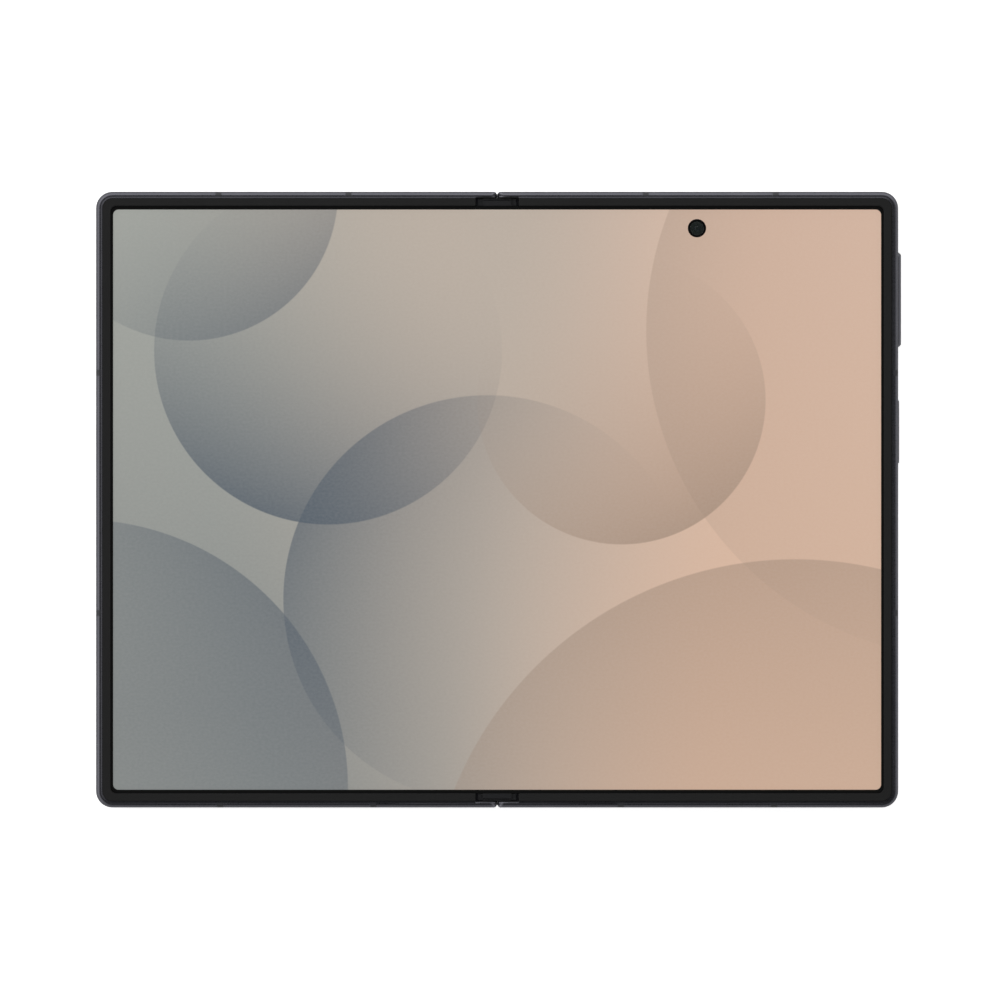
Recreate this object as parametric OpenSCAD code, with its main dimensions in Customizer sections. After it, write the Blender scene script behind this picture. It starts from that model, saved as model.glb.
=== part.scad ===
// Foldable smartphone, opened flat with its inner display facing up.
// X runs across the fold, Y along the fold, Z up out of the inner display.
// The main half (keys, rear cameras, charging port) lies at +X, the cover half at -X,
// and the hinge spine lies between them. Z = 0 is the plane of the rear camera rims.

/* [Body] */
// Width of one half, from the fold line to the outer side (mm)
half_width = 80.7; // [78:0.1:84]
// Height of the phone along the fold (mm)
body_height = 123.9; // [121:0.1:128]
// Thickness of one half without the cameras (mm)
half_thick = 4.85; // [4.7:0.05:5.2]
// Corner radius of the outline (mm)
corner_r = 3.3; // [2.8:0.1:4.5]
// Radius of the vertical edges beside the fold (mm)
fold_edge_r = 0.6; // [0.3:0.1:0.8]
// Rounding of the frame's long outer edges (mm)
edge_r = 0.85; // [0.4:0.05:0.9]
// Width of the metal frame seen from the display side (mm)
frame_band = 1.27; // [1.2:0.01:1.5]
// Width of the thin strip inside the groove of the frame (mm)
strip_w = 0.28; // [0.2:0.02:0.34]
// Wall between the outer side and the inner hollow (mm)
wall = 1.75; // [1.65:0.05:2]

/* [Hinge] */
// Gap left between the two display sides when folded (mm)
close_gap = 0.1; // [0.06:0.01:0.2]
// How far the spine stands behind the folded halves (mm)
spine_proud = 1.5; // [1.2:0.1:1.6]
// Height of the spine above the back plane when open (mm)
spine_lift = 0.675; // [0.6:0.025:0.75]
// Gap between the spine and the halves round it (mm)
spine_gap = 0.1; // [0.06:0.01:0.14]
// Wall of the spine (mm)
spine_wall = 0.45; // [0.4:0.05:0.5]
// Distance between the hinge modules (mm)
module_step = 40; // [36:1:42]
// Length of one hinge module (mm)
module_len = 14; // [13.8:0.1:15]
// Offset of each curved arm from the middle of its module (mm)
arm_offset = 3.6; // [3.4:0.1:3.8]
// Width of one curved arm (mm)
arm_w = 3.4; // [3:0.1:3.6]
// Inner radius of the curved arms (mm)
arm_r_in = 1.7; // [1.65:0.05:1.8]
// Running gap round the curved arms (mm)
arm_gap = 0.06; // [0.04:0.01:0.08]
// Angle spanned by a curved arm (deg)
arm_angle = 150; // [140:1:152]

/* [Display] */
// Level of the display deck above the back plane (mm)
deck_top = 3.9; // [3.85:0.01:3.95]
// Thickness of the display deck (mm)
deck_t = 0.5; // [0.4:0.05:0.5]
// Thickness of the display's support plate (mm)
plate_t = 0.15; // [0.1:0.01:0.18]
// Thickness of the flexible display panel (mm)
panel_t = 0.4; // [0.3:0.02:0.42]
// Width of the frame and rim beside the panel, at the sides (mm)
rim_side = 2.92; // [2.86:0.02:3.2]
// Width of the frame and rim beside the panel, at top and bottom (mm)
rim_end = 2.85; // [2.8:0.05:3.3]
// Corner radius of the opening in the rim (mm)
rim_corner = 1.2; // [0.8:0.1:1.5]
// Half the width of the folding strip of the display (mm)
fold_half = 4.38; // [4.36:0.01:4.5]
// Fitting gap between seated pieces (mm)
fit = 0.05; // [0.03:0.01:0.08]

/* [Back and cover] */
// Thickness of the back and cover glass (mm)
glass_t = 0.6; // [0.5:0.05:0.6]
// Distance from the outer side to the edge of the glass (mm)
glass_in = 1.25; // [1.15:0.05:1.3]
// Distance from the fold line to the edge of the glass (mm)
glass_fold = 3.1; // [3:0.05:3.3]
// Thickness of the cover display panel (mm)
cover_panel_t = 0.6; // [0.5:0.05:0.7]

/* [Rear cameras] */
// Height of the lens rims over the back (mm)
bump = 1.25; // [1.1:0.05:1.4]
// Height of the camera island over the back (mm)
island_h = 0.55; // [0.4:0.05:0.7]
// Radius of the island's round ends (mm)
island_r = 8.2; // [8:0.1:8.6]
// Distance of the lenses from the outer side (mm)
island_in = 14.2; // [13.9:0.1:14.9]
// Distance of the upper lens from the top edge (mm)
lens_down = 11.65; // [11.35:0.05:12.15]
// Distance between the lenses (mm)
lens_step = 14; // [13.8:0.1:14.2]
// Outer radius of a lens rim (mm)
lens_rim_r = 6.5; // [6.3:0.1:6.8]
// Radius of a lens glass (mm)
lens_r = 5.4; // [5.2:0.1:5.6]
// Distance of the flash from the lenses (mm)
flash_in = 12.9; // [12.5:0.1:13.5]
// Radius of the flash window (mm)
flash_r = 2; // [1.6:0.1:2.2]

/* [Inner camera] */
// Distance of the inner camera from the outer side (mm)
cam_in = 40.5; // [39.5:0.1:41.5]
// Distance of the inner camera from the top edge (mm)
cam_down = 7.35; // [7.15:0.05:7.95]
// Radius of the inner camera's window (mm)
cam_r = 1.83; // [1.6:0.01:1.9]

/* [Keys] */
// Level of the keys above the back plane (mm)
key_z = 2.3; // [2.2:0.05:2.4]
// Height of the keys across the side (mm)
key_h = 1.9; // [1.6:0.1:2]
// Distance of the volume key's middle from the top edge (mm)
volume_down = 21.7; // [21:0.05:22.4]
// Length of the volume key (mm)
volume_len = 19.1; // [17:0.1:20]
// How far the volume key stands out (mm)
volume_proud = 0.62; // [0.4:0.02:0.7]
// Distance of the power key's middle from the top edge (mm)
power_down = 48.3; // [47.6:0.05:49]
// Length of the power key (mm)
power_len = 13.4; // [12:0.1:14]
// How far the power key stands out (mm)
power_proud = 0.25; // [0.2:0.01:0.4]
// Travel of the keys (mm)
key_travel = 0.22; // [0.18:0.01:0.24]

/* [Port and tray] */
// Distance of the charging port from the outer side (mm)
port_in = 40.5; // [39.5:0.1:41.5]
// Level of the charging port above the back plane (mm)
port_z = 2.25; // [2.24:0.01:2.26]
// Depth of the charging port's shell (mm)
port_depth = 7.2; // [6.8:0.1:7.4]
// Distance of the card tray's middle from the lower edge (mm)
tray_up = 20.95; // [20:0.05:22]
// Length of the card tray's head (mm)
tray_len = 14; // [13.6:0.1:14.4]
// Depth of the card tray behind its head (mm)
tray_depth = 15.4; // [15:0.1:15.6]

/* [Inner parts] */
// Room left between neighbouring inner parts (mm)
inner_gap = 0.8; // [0.5:0.1:1]
// Length of the main board along the fold (mm)
board_len = 31.4; // [30.5:0.1:32]
// Thickness of the main board (mm)
board_t = 0.6; // [0.5:0.05:0.7]
// Length of the port's board along the fold (mm)
port_board_len = 19.1; // [17:0.1:19.5]
// Thickness of the port's board (mm)
port_board_t = 0.5; // [0.4:0.05:0.6]
// Outer radius of the charging coil (mm)
coil_r = 21; // [18:0.5:22]
// Inner radius of the charging coil (mm)
coil_in_r = 12; // [10:0.5:13]
// Width of the vibration motor (mm)
motor_w = 9.5; // [8:0.1:10]
// Length of the vibration motor (mm)
motor_len = 17; // [14:0.5:18]
// Length of a closing magnet (mm)
magnet_len = 11; // [9:0.5:12]
// Width of a closing magnet (mm)
magnet_w = 2.2; // [1.8:0.1:2.4]
// Width of the earpiece (mm)
ear_w = 16; // [14:0.5:17]
// Depth of the earpiece (mm)
ear_d = 12.7; // [12:0.1:13]

/* [Hidden] */
$fn = 48;

half_h = body_height / 2;
z_back = bump;
// The hinge axes: folding by 90 degrees about them closes the display sides to close_gap.
axis_sum = half_thick + close_gap / 2;
axis_diff = spine_proud + spine_lift;
axis_z = (axis_sum + axis_diff) / 2;
axis_x = (axis_sum - axis_diff) / 2;
spine_r = axis_z - spine_lift;
spine_in_r = spine_r - spine_wall;
bay_r = spine_r + spine_gap;
bay_x = axis_x + bay_r;
bay_y = half_h - frame_band;
spine_y = bay_y - 0.08;
fold_gap = close_gap;
deck_under = deck_top - deck_t;
panel_z = deck_top + plate_t;
panel_top = panel_z + panel_t;
panel_x = half_width - rim_side - fit;
panel_y = half_h - rim_end - fit;
cavity_x = bay_x + 0.5;
cavity_x1 = half_width - wall;
cavity_y = half_h - wall;
arm_r_out = spine_in_r - arm_gap;
foot_z0 = deck_under;
foot_z1 = deck_top - fit;
foot_x1 = 8.2;
foot_len = 7.8;
screw_x = 6.3;
module_ys = [-module_step, 0, module_step];
arm_screw_y = 2.6;
shell_top = deck_under - 0.15;
bracket_top = 3.62;
plate_half = 1.2;
// The rim's ends pass over the caps when the halves fold.
rim_x = axis_x + 2.97;
cap_x = axis_x + 1.51;
cap_side_x = axis_x + 2.47;
lattice_rows = 7;
lattice_step = (2 * panel_y - 1.4) / lattice_rows;
band_w = 1.2;
band_depth = 1;
island_x = half_width - island_in;
lens_top_y = half_h - lens_down;
flash_x = island_x - flash_in;
cam_x = half_width - cam_in;
cam_y = half_h - cam_down;
volume_y = half_h - volume_down;
power_y = half_h - power_down;
port_x = half_width - port_in;
tray_y = tray_up - half_h;
lens_ys = [lens_top_y, lens_top_y - lens_step, lens_top_y - 2 * lens_step];
board_z = 2.4;
board_x0 = foot_x1 + inner_gap;
board_x1 = island_x - 10.1;
board_y1 = cavity_y - inner_gap;
board_y0 = board_y1 - board_len;
board_screws_at = [for (x = [board_x0 + 2, board_x1 - 4.4], y = [board_y0 + 1.8, board_y1 - 1.9]) [x, y]];
battery_x0 = foot_x1 + inner_gap;
battery_x1 = board_x1 - 0.4;
battery_y1 = board_y0 - 1.5;
port_board_y0 = 0.6 - cavity_y;
port_board_y1 = port_board_y0 + port_board_len;
battery_y0 = port_board_y1 + 2.5;
block_z = 1.5;
port_w = 8.94;
port_t = 3.16;
port_shell = 0.3;
flex_y = 20;
flex_w = 5.6;
flex_x = foot_x1 + 0.4;
speaker_x = half_width - 16.1;
speaker_y0 = 0.5 - cavity_y;
speaker_holes = 5;
hole_step = 2;
hole_r = 0.5;
mic_r = 0.35;
magnet_x = cavity_x1 - magnet_w - 1.15;
magnet_ys = [for (i = [0, 1]) tray_y + tray_len / 2 + 0.5 + magnet_len / 2 + i * (magnet_len + 7)];
cover_cam_x = (glass_fold + half_width - glass_in) / 2;
cover_cam_y = half_h - 8.55;
ear_x = cover_cam_x - 21.3;
ear_y1 = cavity_y - 0.5;
cover_battery_x1 = half_width - 24.7;
tray_z = key_z;
tray_h = 1.9;
tray_w = tray_len - 1.4;
tray_plate = 0.9;
key_flange = 0.5;
inner_wall_x = cavity_x1;

// ---- shared shapes ----

// Lifts a piece from the back plane to its place above the camera rims.
module up_back() {
  translate([0, 0, z_back]) children();
}

// Makes the cover half's copy of a shape of the main half.
module to_cover() {
  mirror([1, 0, 0]) children();
}

// Rectangle with its own corner radius at the left and at the right end.
module rrect(x0, x1, y1, r_left, r_right) {
  difference() {
    translate([x0, -y1]) square([x1 - x0, 2 * y1]);
    for (s = [0, 1]) mirror([0, s]) {
      translate([x1 - r_right, y1 - r_right]) corner_cut(r_right);
      if (r_left > 0) translate([x0 + r_left, y1 - r_left]) mirror([1, 0]) corner_cut(r_left);
    }
  }
}

// What a rounding takes away beyond a quarter circle.
module corner_cut(r) {
  difference() {
    square(r * 2);
    circle(r);
  }
}

// Takes the sharp long edge off at the level z, along the side and both ends.
module edge_rounding(z, r) {
  translate([half_width - r, 0, z]) rotate([90, 0, 0])
    linear_extrude(2 * (half_h - corner_r), center = true) corner_cut(r);
  for (s = [0, 1]) mirror([0, s, 0]) {
    translate([half_width - corner_r, half_h - corner_r, z])
      rotate_extrude(angle = 90) translate([corner_r - r, 0]) corner_cut(r);
    translate([-1, half_h - r, z]) rotate([90, 0, 90])
      linear_extrude(half_width - corner_r + 1) corner_cut(r);
  }
}

// Outside of one half, with its rounded edges and the rounding that lets it fold.
module half_solid() {
  difference() {
    linear_extrude(half_thick) rrect(fold_gap, half_width, half_h, fold_edge_r, corner_r);
    edge_rounding(half_thick - edge_r, edge_r);
    mirror([0, 0, 1]) edge_rounding(-edge_r, edge_r);
    // the ends beside the fold turn about the hinge axis without touching each other
    translate([axis_x, 0, axis_z]) rotate([90, 0, 0])
      linear_extrude(body_height + 2, center = true) mirror([1, 0])
        corner_cut(axis_x - close_gap / 2);
  }
}

// Section of the room for the spine, seen along the fold.
module bay_section() {
  translate([axis_x, axis_z]) circle(bay_r);
  translate([-1, spine_lift - spine_gap]) square([axis_x + 1, 6]);
  translate([-1, axis_z]) square([bay_x + 1, 4]);
}

// Section of the spine, with radius r about both hinge axes.
module spine_section(r, floor_z) {
  for (s = [-1, 1]) translate([s * axis_x, axis_z]) circle(r);
  translate([-axis_x, floor_z]) square([2 * axis_x, axis_z - floor_z]);
}

// Extrudes a section seen along the fold, centred on the level y.
module along_fold(y, len) {
  translate([0, y, 0]) rotate([90, 0, 0]) linear_extrude(len, center = true) children();
}

// Box between two corners.
module block(a, b) {
  translate(a) cube(b - a);
}

// Bar with round ends, long in Y, sunk through the side wall from x0 to x1.
module side_pill(x0, x1, y, z, len, h) {
  translate([x0, y, z]) rotate([90, 0, 90]) linear_extrude(x1 - x0) pill(len, h);
}

// Flat shape with round ends, centred, long in X.
module pill(len, h) {
  square([len - h, h], center = true);
  for (s = [-1, 1]) translate([s * (len - h) / 2, 0]) circle(h / 2);
}

// Boxes where the antenna bands cross the frame of a half, at both ends and the side.
module band_boxes() {
  for (x = band_xs_top) translate([x - band_w / 2, half_h - band_depth, -1])
    cube([band_w, band_depth + 1, half_thick + 2]);
  for (x = band_xs_low) translate([x - band_w / 2, -half_h - 1, -1])
    cube([band_w, band_depth + 1, half_thick + 2]);
  for (y = band_ys) translate([half_width - band_depth, y - band_w / 2, -1])
    cube([band_depth + 1, band_w, half_thick + 2]);
}

band_xs_top = [half_width - 50.8, half_width - 24.65];
band_xs_low = [half_width - 55.8, half_width - 25];
band_ys = [half_h - 36.45, 39.15 - half_h];

// The frame of either half without the openings of its own; side is 1 or -1 for the feet.
module frame_base(side) {
  difference() {
    half_solid();
    band_boxes();
    // room for the display on the deck
    translate([0, 0, deck_top]) linear_extrude(2)
      rrect(-1, half_width - frame_band, bay_y, 0, corner_r - frame_band);
    // thin groove along the frame
    translate([0, 0, half_thick - 0.12]) linear_extrude(1) difference() {
      rrect(-1, half_width - frame_band + strip_w + 0.1, bay_y + strip_w + 0.1,
        0, corner_r - frame_band + strip_w + 0.1);
      rrect(-2, half_width - frame_band + strip_w, bay_y + strip_w,
        0, corner_r - frame_band + strip_w);
    }
    // the strip ends with the rim, and a lower ledge runs on to the fold
    translate([-1, -bay_y - strip_w - 0.1, half_thick - 0.4])
      cube([rim_x + 1, 2 * (bay_y + strip_w + 0.1), 1]);
    // glass seat
    translate([0, 0, -1]) linear_extrude(glass_t + 1)
      rrect(glass_fold - fit, half_width - glass_in + fit, half_h - glass_in + fit,
        0.5 + fit, corner_r - glass_in + fit);
    // inner hollow with the blocks that hold the arm screws left standing
    difference() {
      translate([0, 0, -0.5]) linear_extrude(deck_under + 0.5)
        rrect(cavity_x, cavity_x1, cavity_y, 0.8, corner_r - wall);
      for (y = module_ys) translate([cavity_x - 1, y + side * arm_offset - foot_len / 2, block_z])
        cube([foot_x1 - cavity_x + 1, foot_len, 4]);
    }
    // room for the spine
    along_fold(0, 2 * bay_y) bay_section();
    // pockets for the feet of the curved arms, with their screw holes
    for (y = module_ys) translate([0, y + side * arm_offset, 0]) {
      translate([bay_x - 1, -foot_len / 2 - fit, foot_z0])
        cube([foot_x1 + fit - bay_x + 1, foot_len + 2 * fit, 2]);
      for (s = [-1, 1]) translate([screw_x, s * arm_screw_y, 2]) cylinder(h = 3, r = 0.4, $fn = 24);
    }
    // ways for the hinge cables
    for (s = [-1, 1]) translate([bay_x - 1, s * flex_y - flex_w / 2 - 0.2, deck_under - 0.1])
      cube([flex_x + 0.9 - bay_x + 1, flex_w + 0.4, 2]);
  }
}

// Curved arms of one half: arcs about its hinge axis with feet for the deck.
module hinge_arms(side) {
  for (y = module_ys) translate([0, y + side * arm_offset, 0]) difference() {
    union() {
      translate([axis_x, 0, axis_z]) rotate([90, 0, 0]) rotate([0, 0, -arm_angle])
        translate([0, 0, -arm_w / 2]) linear_extrude(arm_w) arc_section();
      block([axis_x + arm_r_in, -arm_w / 2, foot_z0], [bay_x + 0.2, arm_w / 2, foot_z1]);
      block([bay_x + 0.1, -foot_len / 2, foot_z0], [foot_x1, foot_len / 2, foot_z1]);
    }
    for (s = [-1, 1]) translate([screw_x, s * arm_screw_y, 0]) {
      cylinder(h = 9, r = 0.45, $fn = 24);
      translate([0, 0, foot_z1 - 0.3]) cylinder(h = 1, r = 0.85, $fn = 24);
    }
  }
}

// Ring piece from angle 0 to just short of the foot's lower side.
module arc_section() {
  difference() {
    circle(arm_r_out);
    circle(arm_r_in);
    translate([-5, -10]) square([10, 10]);
    rotate(arm_angle) translate([-5, 0]) square([10, 10]);
  }
}

module arm_screws(side) {
  for (y = module_ys, s = [-1, 1])
    translate([screw_x, y + side * arm_offset + s * arm_screw_y, 0]) difference() {
      union() {
        translate([0, 0, 2.1]) cylinder(h = foot_z1 - 2.1, r = 0.38, $fn = 24);
        translate([0, 0, foot_z1 - 0.3]) cylinder(h = 0.3, r = 0.8, $fn = 24);
      }
      translate([0, 0, foot_z1 - 0.15]) for (t = [0, 90]) rotate(t)
        translate([-0.5, -0.1, 0]) cube([1, 0.2, 1]);
    }
}

module display_rim() {
  translate([0, 0, deck_top]) linear_extrude(half_thick - deck_top) difference() {
    rrect(rim_x, half_width - frame_band - fit, bay_y - fit, 0, corner_r - frame_band - fit);
    rrect(0, half_width - rim_side, half_h - rim_end, 0, rim_corner);
  }
}

module display_sheet(z, t) {
  translate([0, 0, z]) linear_extrude(t)
    rrect(fold_half + fit, panel_x, panel_y, 0, rim_corner - fit);
}

module back_sheet() {
  linear_extrude(glass_t) rrect(glass_fold, half_width - glass_in, half_h - glass_in,
    0.5, corner_r - glass_in);
}

module island_outline(r) {
  translate([island_x, lens_top_y - lens_step]) rotate(90) pill(2 * (lens_step + r), 2 * r);
}

// ---- main half ----

module main_frame() {
  color("dimgray") up_back() difference() {
    frame_base(1);
    // rear cameras are behind the glass, the inner camera looks through the deck
    translate([cam_x, cam_y, deck_under - 1]) cylinder(h = 3, r = cam_r + 0.1);
    // slots of the two keys
    side_pill(inner_wall_x - 1, half_width + 1, volume_y, key_z, volume_len + 0.1, key_h + 0.1);
    side_pill(inner_wall_x - 1, half_width + 1, power_y, key_z, power_len + 0.1, key_h + 0.1);
    // charging port
    translate([port_x, -half_h - 1, port_z]) rotate([-90, 0, 0])
      linear_extrude(port_depth + 2.4) pill(port_w + 2 * fit, port_t + 2 * fit);
    // loudspeaker and microphone holes
    for (i = [0 : speaker_holes - 1])
      translate([speaker_x + (i - (speaker_holes - 1) / 2) * hole_step, -half_h - 1, port_z])
        rotate([-90, 0, 0]) cylinder(h = wall + 2, r = hole_r, $fn = 24);
    for (x = [port_x - 8, port_x + 9.4]) translate([x, -half_h - 1, port_z]) rotate([-90, 0, 0])
      cylinder(h = wall + 2, r = mic_r, $fn = 24);
    translate([cam_x + 6.8, half_h - wall - 1, port_z]) rotate([-90, 0, 0])
      cylinder(h = wall + 2, r = mic_r, $fn = 24);
  }
  // posts for the board's screws
  color("dimgray") up_back() for (p = board_screws_at) translate([p[0], p[1], board_z + board_t])
    difference() {
      cylinder(h = deck_top - board_z - board_t - 0.1, r = 1.1, $fn = 24);
      translate([0, 0, -0.1]) cylinder(h = 0.5, r = 0.4, $fn = 24);
    }
}

module main_antenna_bands() {
  color("#3a3c40") up_back() intersection() {
    half_solid();
    band_boxes();
  }
}

module main_display_rim() {
  color("#262626") up_back() display_rim();
}

module main_back_glass() {
  color("#2e3138") up_back() difference() {
    back_sheet();
    translate([0, 0, -1]) linear_extrude(3) island_outline(island_r - 0.6);
    translate([flash_x, lens_top_y, -1]) cylinder(h = 3, r = flash_r + fit);
  }
}

// Raised island that frames the three rear lenses, clamped behind and before the glass.
module camera_island() {
  color("#3c4048") up_back() difference() {
    union() {
      translate([0, 0, -island_h]) linear_extrude(island_h) island_outline(island_r);
      translate([0, 0, -0.1]) linear_extrude(glass_t + 0.1) island_outline(island_r - 0.65);
      for (y = lens_ys) translate([island_x, y, -bump])
        cylinder(h = bump, r = lens_rim_r);
    }
    for (y = lens_ys) translate([island_x, y, -bump - 1]) {
      cylinder(h = bump + 0.6, r = lens_r + fit);
      cylinder(h = 5, r = lens_r - 0.5);
    }
  }
}

module camera_lens_glasses() {
  color("#101318") up_back() for (y = lens_ys)
    translate([island_x, y, -bump + 0.15]) cylinder(h = bump - 0.4 - 0.15, r = lens_r);
}

// One camera: a housing against the deck and a barrel that reaches into its lens rim.
module rear_camera(y, size, barrel, bore) {
  up_back() translate([island_x, y, 0]) difference() {
    union() {
      translate([0, 0, (1 + deck_under) / 2]) cube([size, size, deck_under - 1], center = true);
      translate([0, 0, -0.2]) cylinder(h = 1.3, r = barrel);
    }
    translate([0, 0, -1]) cylinder(h = 1.6, r1 = bore + 0.4, r2 = bore);
  }
}

module camera_upper() {
  color("#1b1d20") rear_camera(lens_ys[0], 12, 4.3, 2.4);
}

module camera_middle() {
  color("#1b1d20") rear_camera(lens_ys[1], 13.2, 4.7, 3.2);
}

module camera_lower() {
  color("#1b1d20") rear_camera(lens_ys[2], 11.4, 4, 2);
}

module flash_window() {
  color("#f4ecd0") up_back() translate([flash_x, lens_top_y, 0]) {
    cylinder(h = 1.2, r = flash_r);
    translate([0, 0, 1.1]) cylinder(h = 0.5, r = flash_r + 0.5);
  }
}

module inner_camera() {
  color("#15171a") up_back() translate([cam_x, cam_y, 0]) difference() {
    union() {
      translate([-3.2, -3.2, 1.1]) cube([6.4, 6.4, deck_under - 1.1]);
      translate([0, 0, 3]) cylinder(h = panel_top - 3.05, r = cam_r - 0.08);
    }
    translate([0, 0, panel_top - 0.4]) cylinder(h = 1, r1 = 0.55, r2 = 1.2);
  }
}

module main_display_panel() {
  color("#c9b3a4") up_back() difference() {
    display_sheet(panel_z, panel_t);
    translate([cam_x, cam_y, 3]) cylinder(h = 3, r = cam_r);
  }
}

module main_support_plate() {
  color("#8d9196") up_back() difference() {
    display_sheet(deck_top, plate_t);
    translate([cam_x, cam_y, 3]) cylinder(h = 3, r = cam_r + 0.1);
  }
}

module main_hinge_arms() {
  color("#9a9da2") up_back() hinge_arms(1);
}

module main_arm_screws() {
  color("#b6b9bd") up_back() arm_screws(1);
}

// Circuit board with a notch for the inner camera.
module main_board() {
  color("#1f3d33") up_back() difference() {
    block([board_x0, board_y0, board_z], [board_x1, board_y1, board_z + board_t]);
    block([cam_x - 3.4, cam_y - 3.4, 0], [cam_x + 3.4, half_h, 9]);
    block([flash_x - 3, lens_top_y - 3, 0], [board_x1 + 1, lens_top_y + 3, 9]);
    for (p = board_screws_at) translate([p[0], p[1], 0]) cylinder(h = 9, r = 0.45, $fn = 24);
  }
}

module board_screws() {
  color("#b6b9bd") up_back() for (p = board_screws_at) translate([p[0], p[1], 0]) {
    translate([0, 0, board_z - 0.35]) cylinder(h = 0.35, r = 0.95, $fn = 24);
    translate([0, 0, board_z - 0.1]) cylinder(h = board_t + 0.4, r = 0.36, $fn = 24);
  }
}

// Pressed metal can with an open side on the board.
module shield_can(a, b) {
  up_back() difference() {
    block(a, b);
    block(a + [0.2, 0.2, 0.2], b - [0.2, 0.2, -1]);
  }
}

module processor_shield() {
  color("#a9acb0") shield_can([board_x0 + 2.5, board_y0 + 4, 1.15],
    [cam_x - 4.7, board_y1 - 3.4, board_z]);
}

module radio_shield() {
  color("#a9acb0") shield_can([cam_x - 1.7, board_y0 + 4, 1.25],
    [board_x1 - 6.9, cam_y - 6.1, board_z]);
}

module main_battery() {
  color("#24262a") up_back() block([battery_x0, battery_y0, 1.05],
    [battery_x1, battery_y1, deck_under]);
}

// Flat ring of wire bonded to the inside of the back glass.
module charging_coil() {
  color("#b06a3c") up_back()
    translate([(battery_x0 + battery_x1) / 2, (battery_y0 + battery_y1) / 2, glass_t])
      linear_extrude(0.3) difference() {
        circle(coil_r, $fn = 96);
        circle(coil_in_r, $fn = 72);
      }
}

// Socket shell with its tongue, sunk into the bottom edge.
module charging_port() {
  color("#c2c4c7") up_back() translate([port_x, -half_h + 0.35, port_z]) rotate([-90, 0, 0]) {
    difference() {
      linear_extrude(port_depth) pill(port_w, port_t);
      translate([0, 0, -1]) linear_extrude(port_depth)
        pill(port_w - 2 * port_shell, port_t - 2 * port_shell);
    }
    translate([-3.35, -0.35, 0.9]) cube([6.7, 0.7, port_depth - 1.4]);
  }
}

module port_board() {
  color("#1f3d33") up_back() difference() {
    block([port_x - 13.2, port_board_y0, deck_under - port_board_t],
      [port_x + 13.8, port_board_y1, deck_under]);
    block([port_x - port_w / 2 - 0.23, -half_h, 0],
      [port_x + port_w / 2 + 0.23, -half_h + port_depth + 0.55, 9]);
  }
}

module loudspeaker() {
  color("#202225") up_back() difference() {
    block([port_x + 16.3, speaker_y0, 1], [cavity_x1 - 4.45, port_board_y1 - 1.5, deck_under]);
    for (i = [0 : speaker_holes - 1])
      translate([speaker_x + (i - (speaker_holes - 1) / 2) * hole_step, -62, port_z])
        rotate([-90, 0, 0]) cylinder(h = 4, r = hole_r, $fn = 24);
  }
}

module vibration_motor() {
  color("#b9bcc0") up_back() translate([battery_x1 + 3, -7.5 - motor_len / 2, 1.1])
    cube([motor_w, motor_len, deck_under - 1.1]);
}

module magnet_bars() {
  for (y = magnet_ys)
    block([magnet_x, y - magnet_len / 2, 1.3], [magnet_x + magnet_w, y + magnet_len / 2, deck_under]);
}

module main_magnets() {
  color("#8b8e93") up_back() magnet_bars();
}

// Key with a round-ended top, a flange behind the wall and a stud for its switch.
module side_key(y, len, proud) {
  up_back() {
    side_pill(inner_wall_x - 0.1, half_width + proud, y, key_z, len, key_h);
    block([inner_wall_x - fit - key_flange, y - len / 2 - 0.5, key_z - key_h / 2 - 0.25],
      [inner_wall_x - fit, y + len / 2 + 0.5, key_z + key_h / 2 + 0.1]);
  }
}

module volume_key() {
  color("#44474d") side_key(volume_y, volume_len, volume_proud);
}

module power_key() {
  color("#44474d") side_key(power_y, power_len, power_proud);
}

// Dome switch on its little board, one key travel away from the key's flange.
module key_switch(y) {
  x0 = inner_wall_x - fit - key_flange - key_travel - 0.05;
  up_back() {
    block([x0 - 0.75, y - 2, 1.25], [x0 - 0.35, y + 2, deck_under]);
    translate([x0 - 0.4, y, key_z]) rotate([0, 90, 0]) cylinder(h = 0.4, r = 0.8, $fn = 24);
  }
}

module volume_switches() {
  color("#d8c9a0") for (s = [-1, 1]) key_switch(volume_y + s * 6);
}

module power_switch() {
  color("#d8c9a0") key_switch(power_y);
}

// Flat cable from the main board past the battery to the board of the port.
module main_cable() {
  x0 = battery_x1 + 0.6;
  x1 = x0 + 1.8;
  y1 = board_y0 + 1;
  z_board = board_z + board_t;
  z_port = deck_under - port_board_t;
  color("#6b4a2c") up_back() {
    block([x0, port_board_y1 - 1, deck_under - 0.12], [x1, y1, deck_under]);
    block([board_x1 - 3.2, board_y0 - 0.4, z_board], [x1, y1, z_board + 0.1]);
    block([x0, board_y0 - 0.4, z_board], [x1, y1, deck_under]);
    block([port_x + 12.8, port_board_y1 - 1, z_port - 0.12], [x1, port_board_y1 - 0.1, z_port]);
    block([x0, port_board_y1 - 1, z_port - 0.12], [x1, port_board_y1 - 0.1, deck_under]);
  }
}

// ---- spine ----

module spine_shell() {
  color("#5b5e64") up_back() {
    difference() {
      along_fold(0, 2 * spine_y) intersection() {
        spine_section(spine_r, spine_lift);
        translate([-9, -1]) square([18, shell_top + 1]);
      }
      along_fold(0, 2 * spine_y - 0.8) spine_section(spine_in_r, spine_lift + spine_wall);
      for (y = module_ys, s = [-1, 1]) translate([0, y + s * (module_len / 2 - 0.9), 0.9])
        cylinder(h = 3, r = 0.36, $fn = 24);
    }
  }
}

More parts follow.
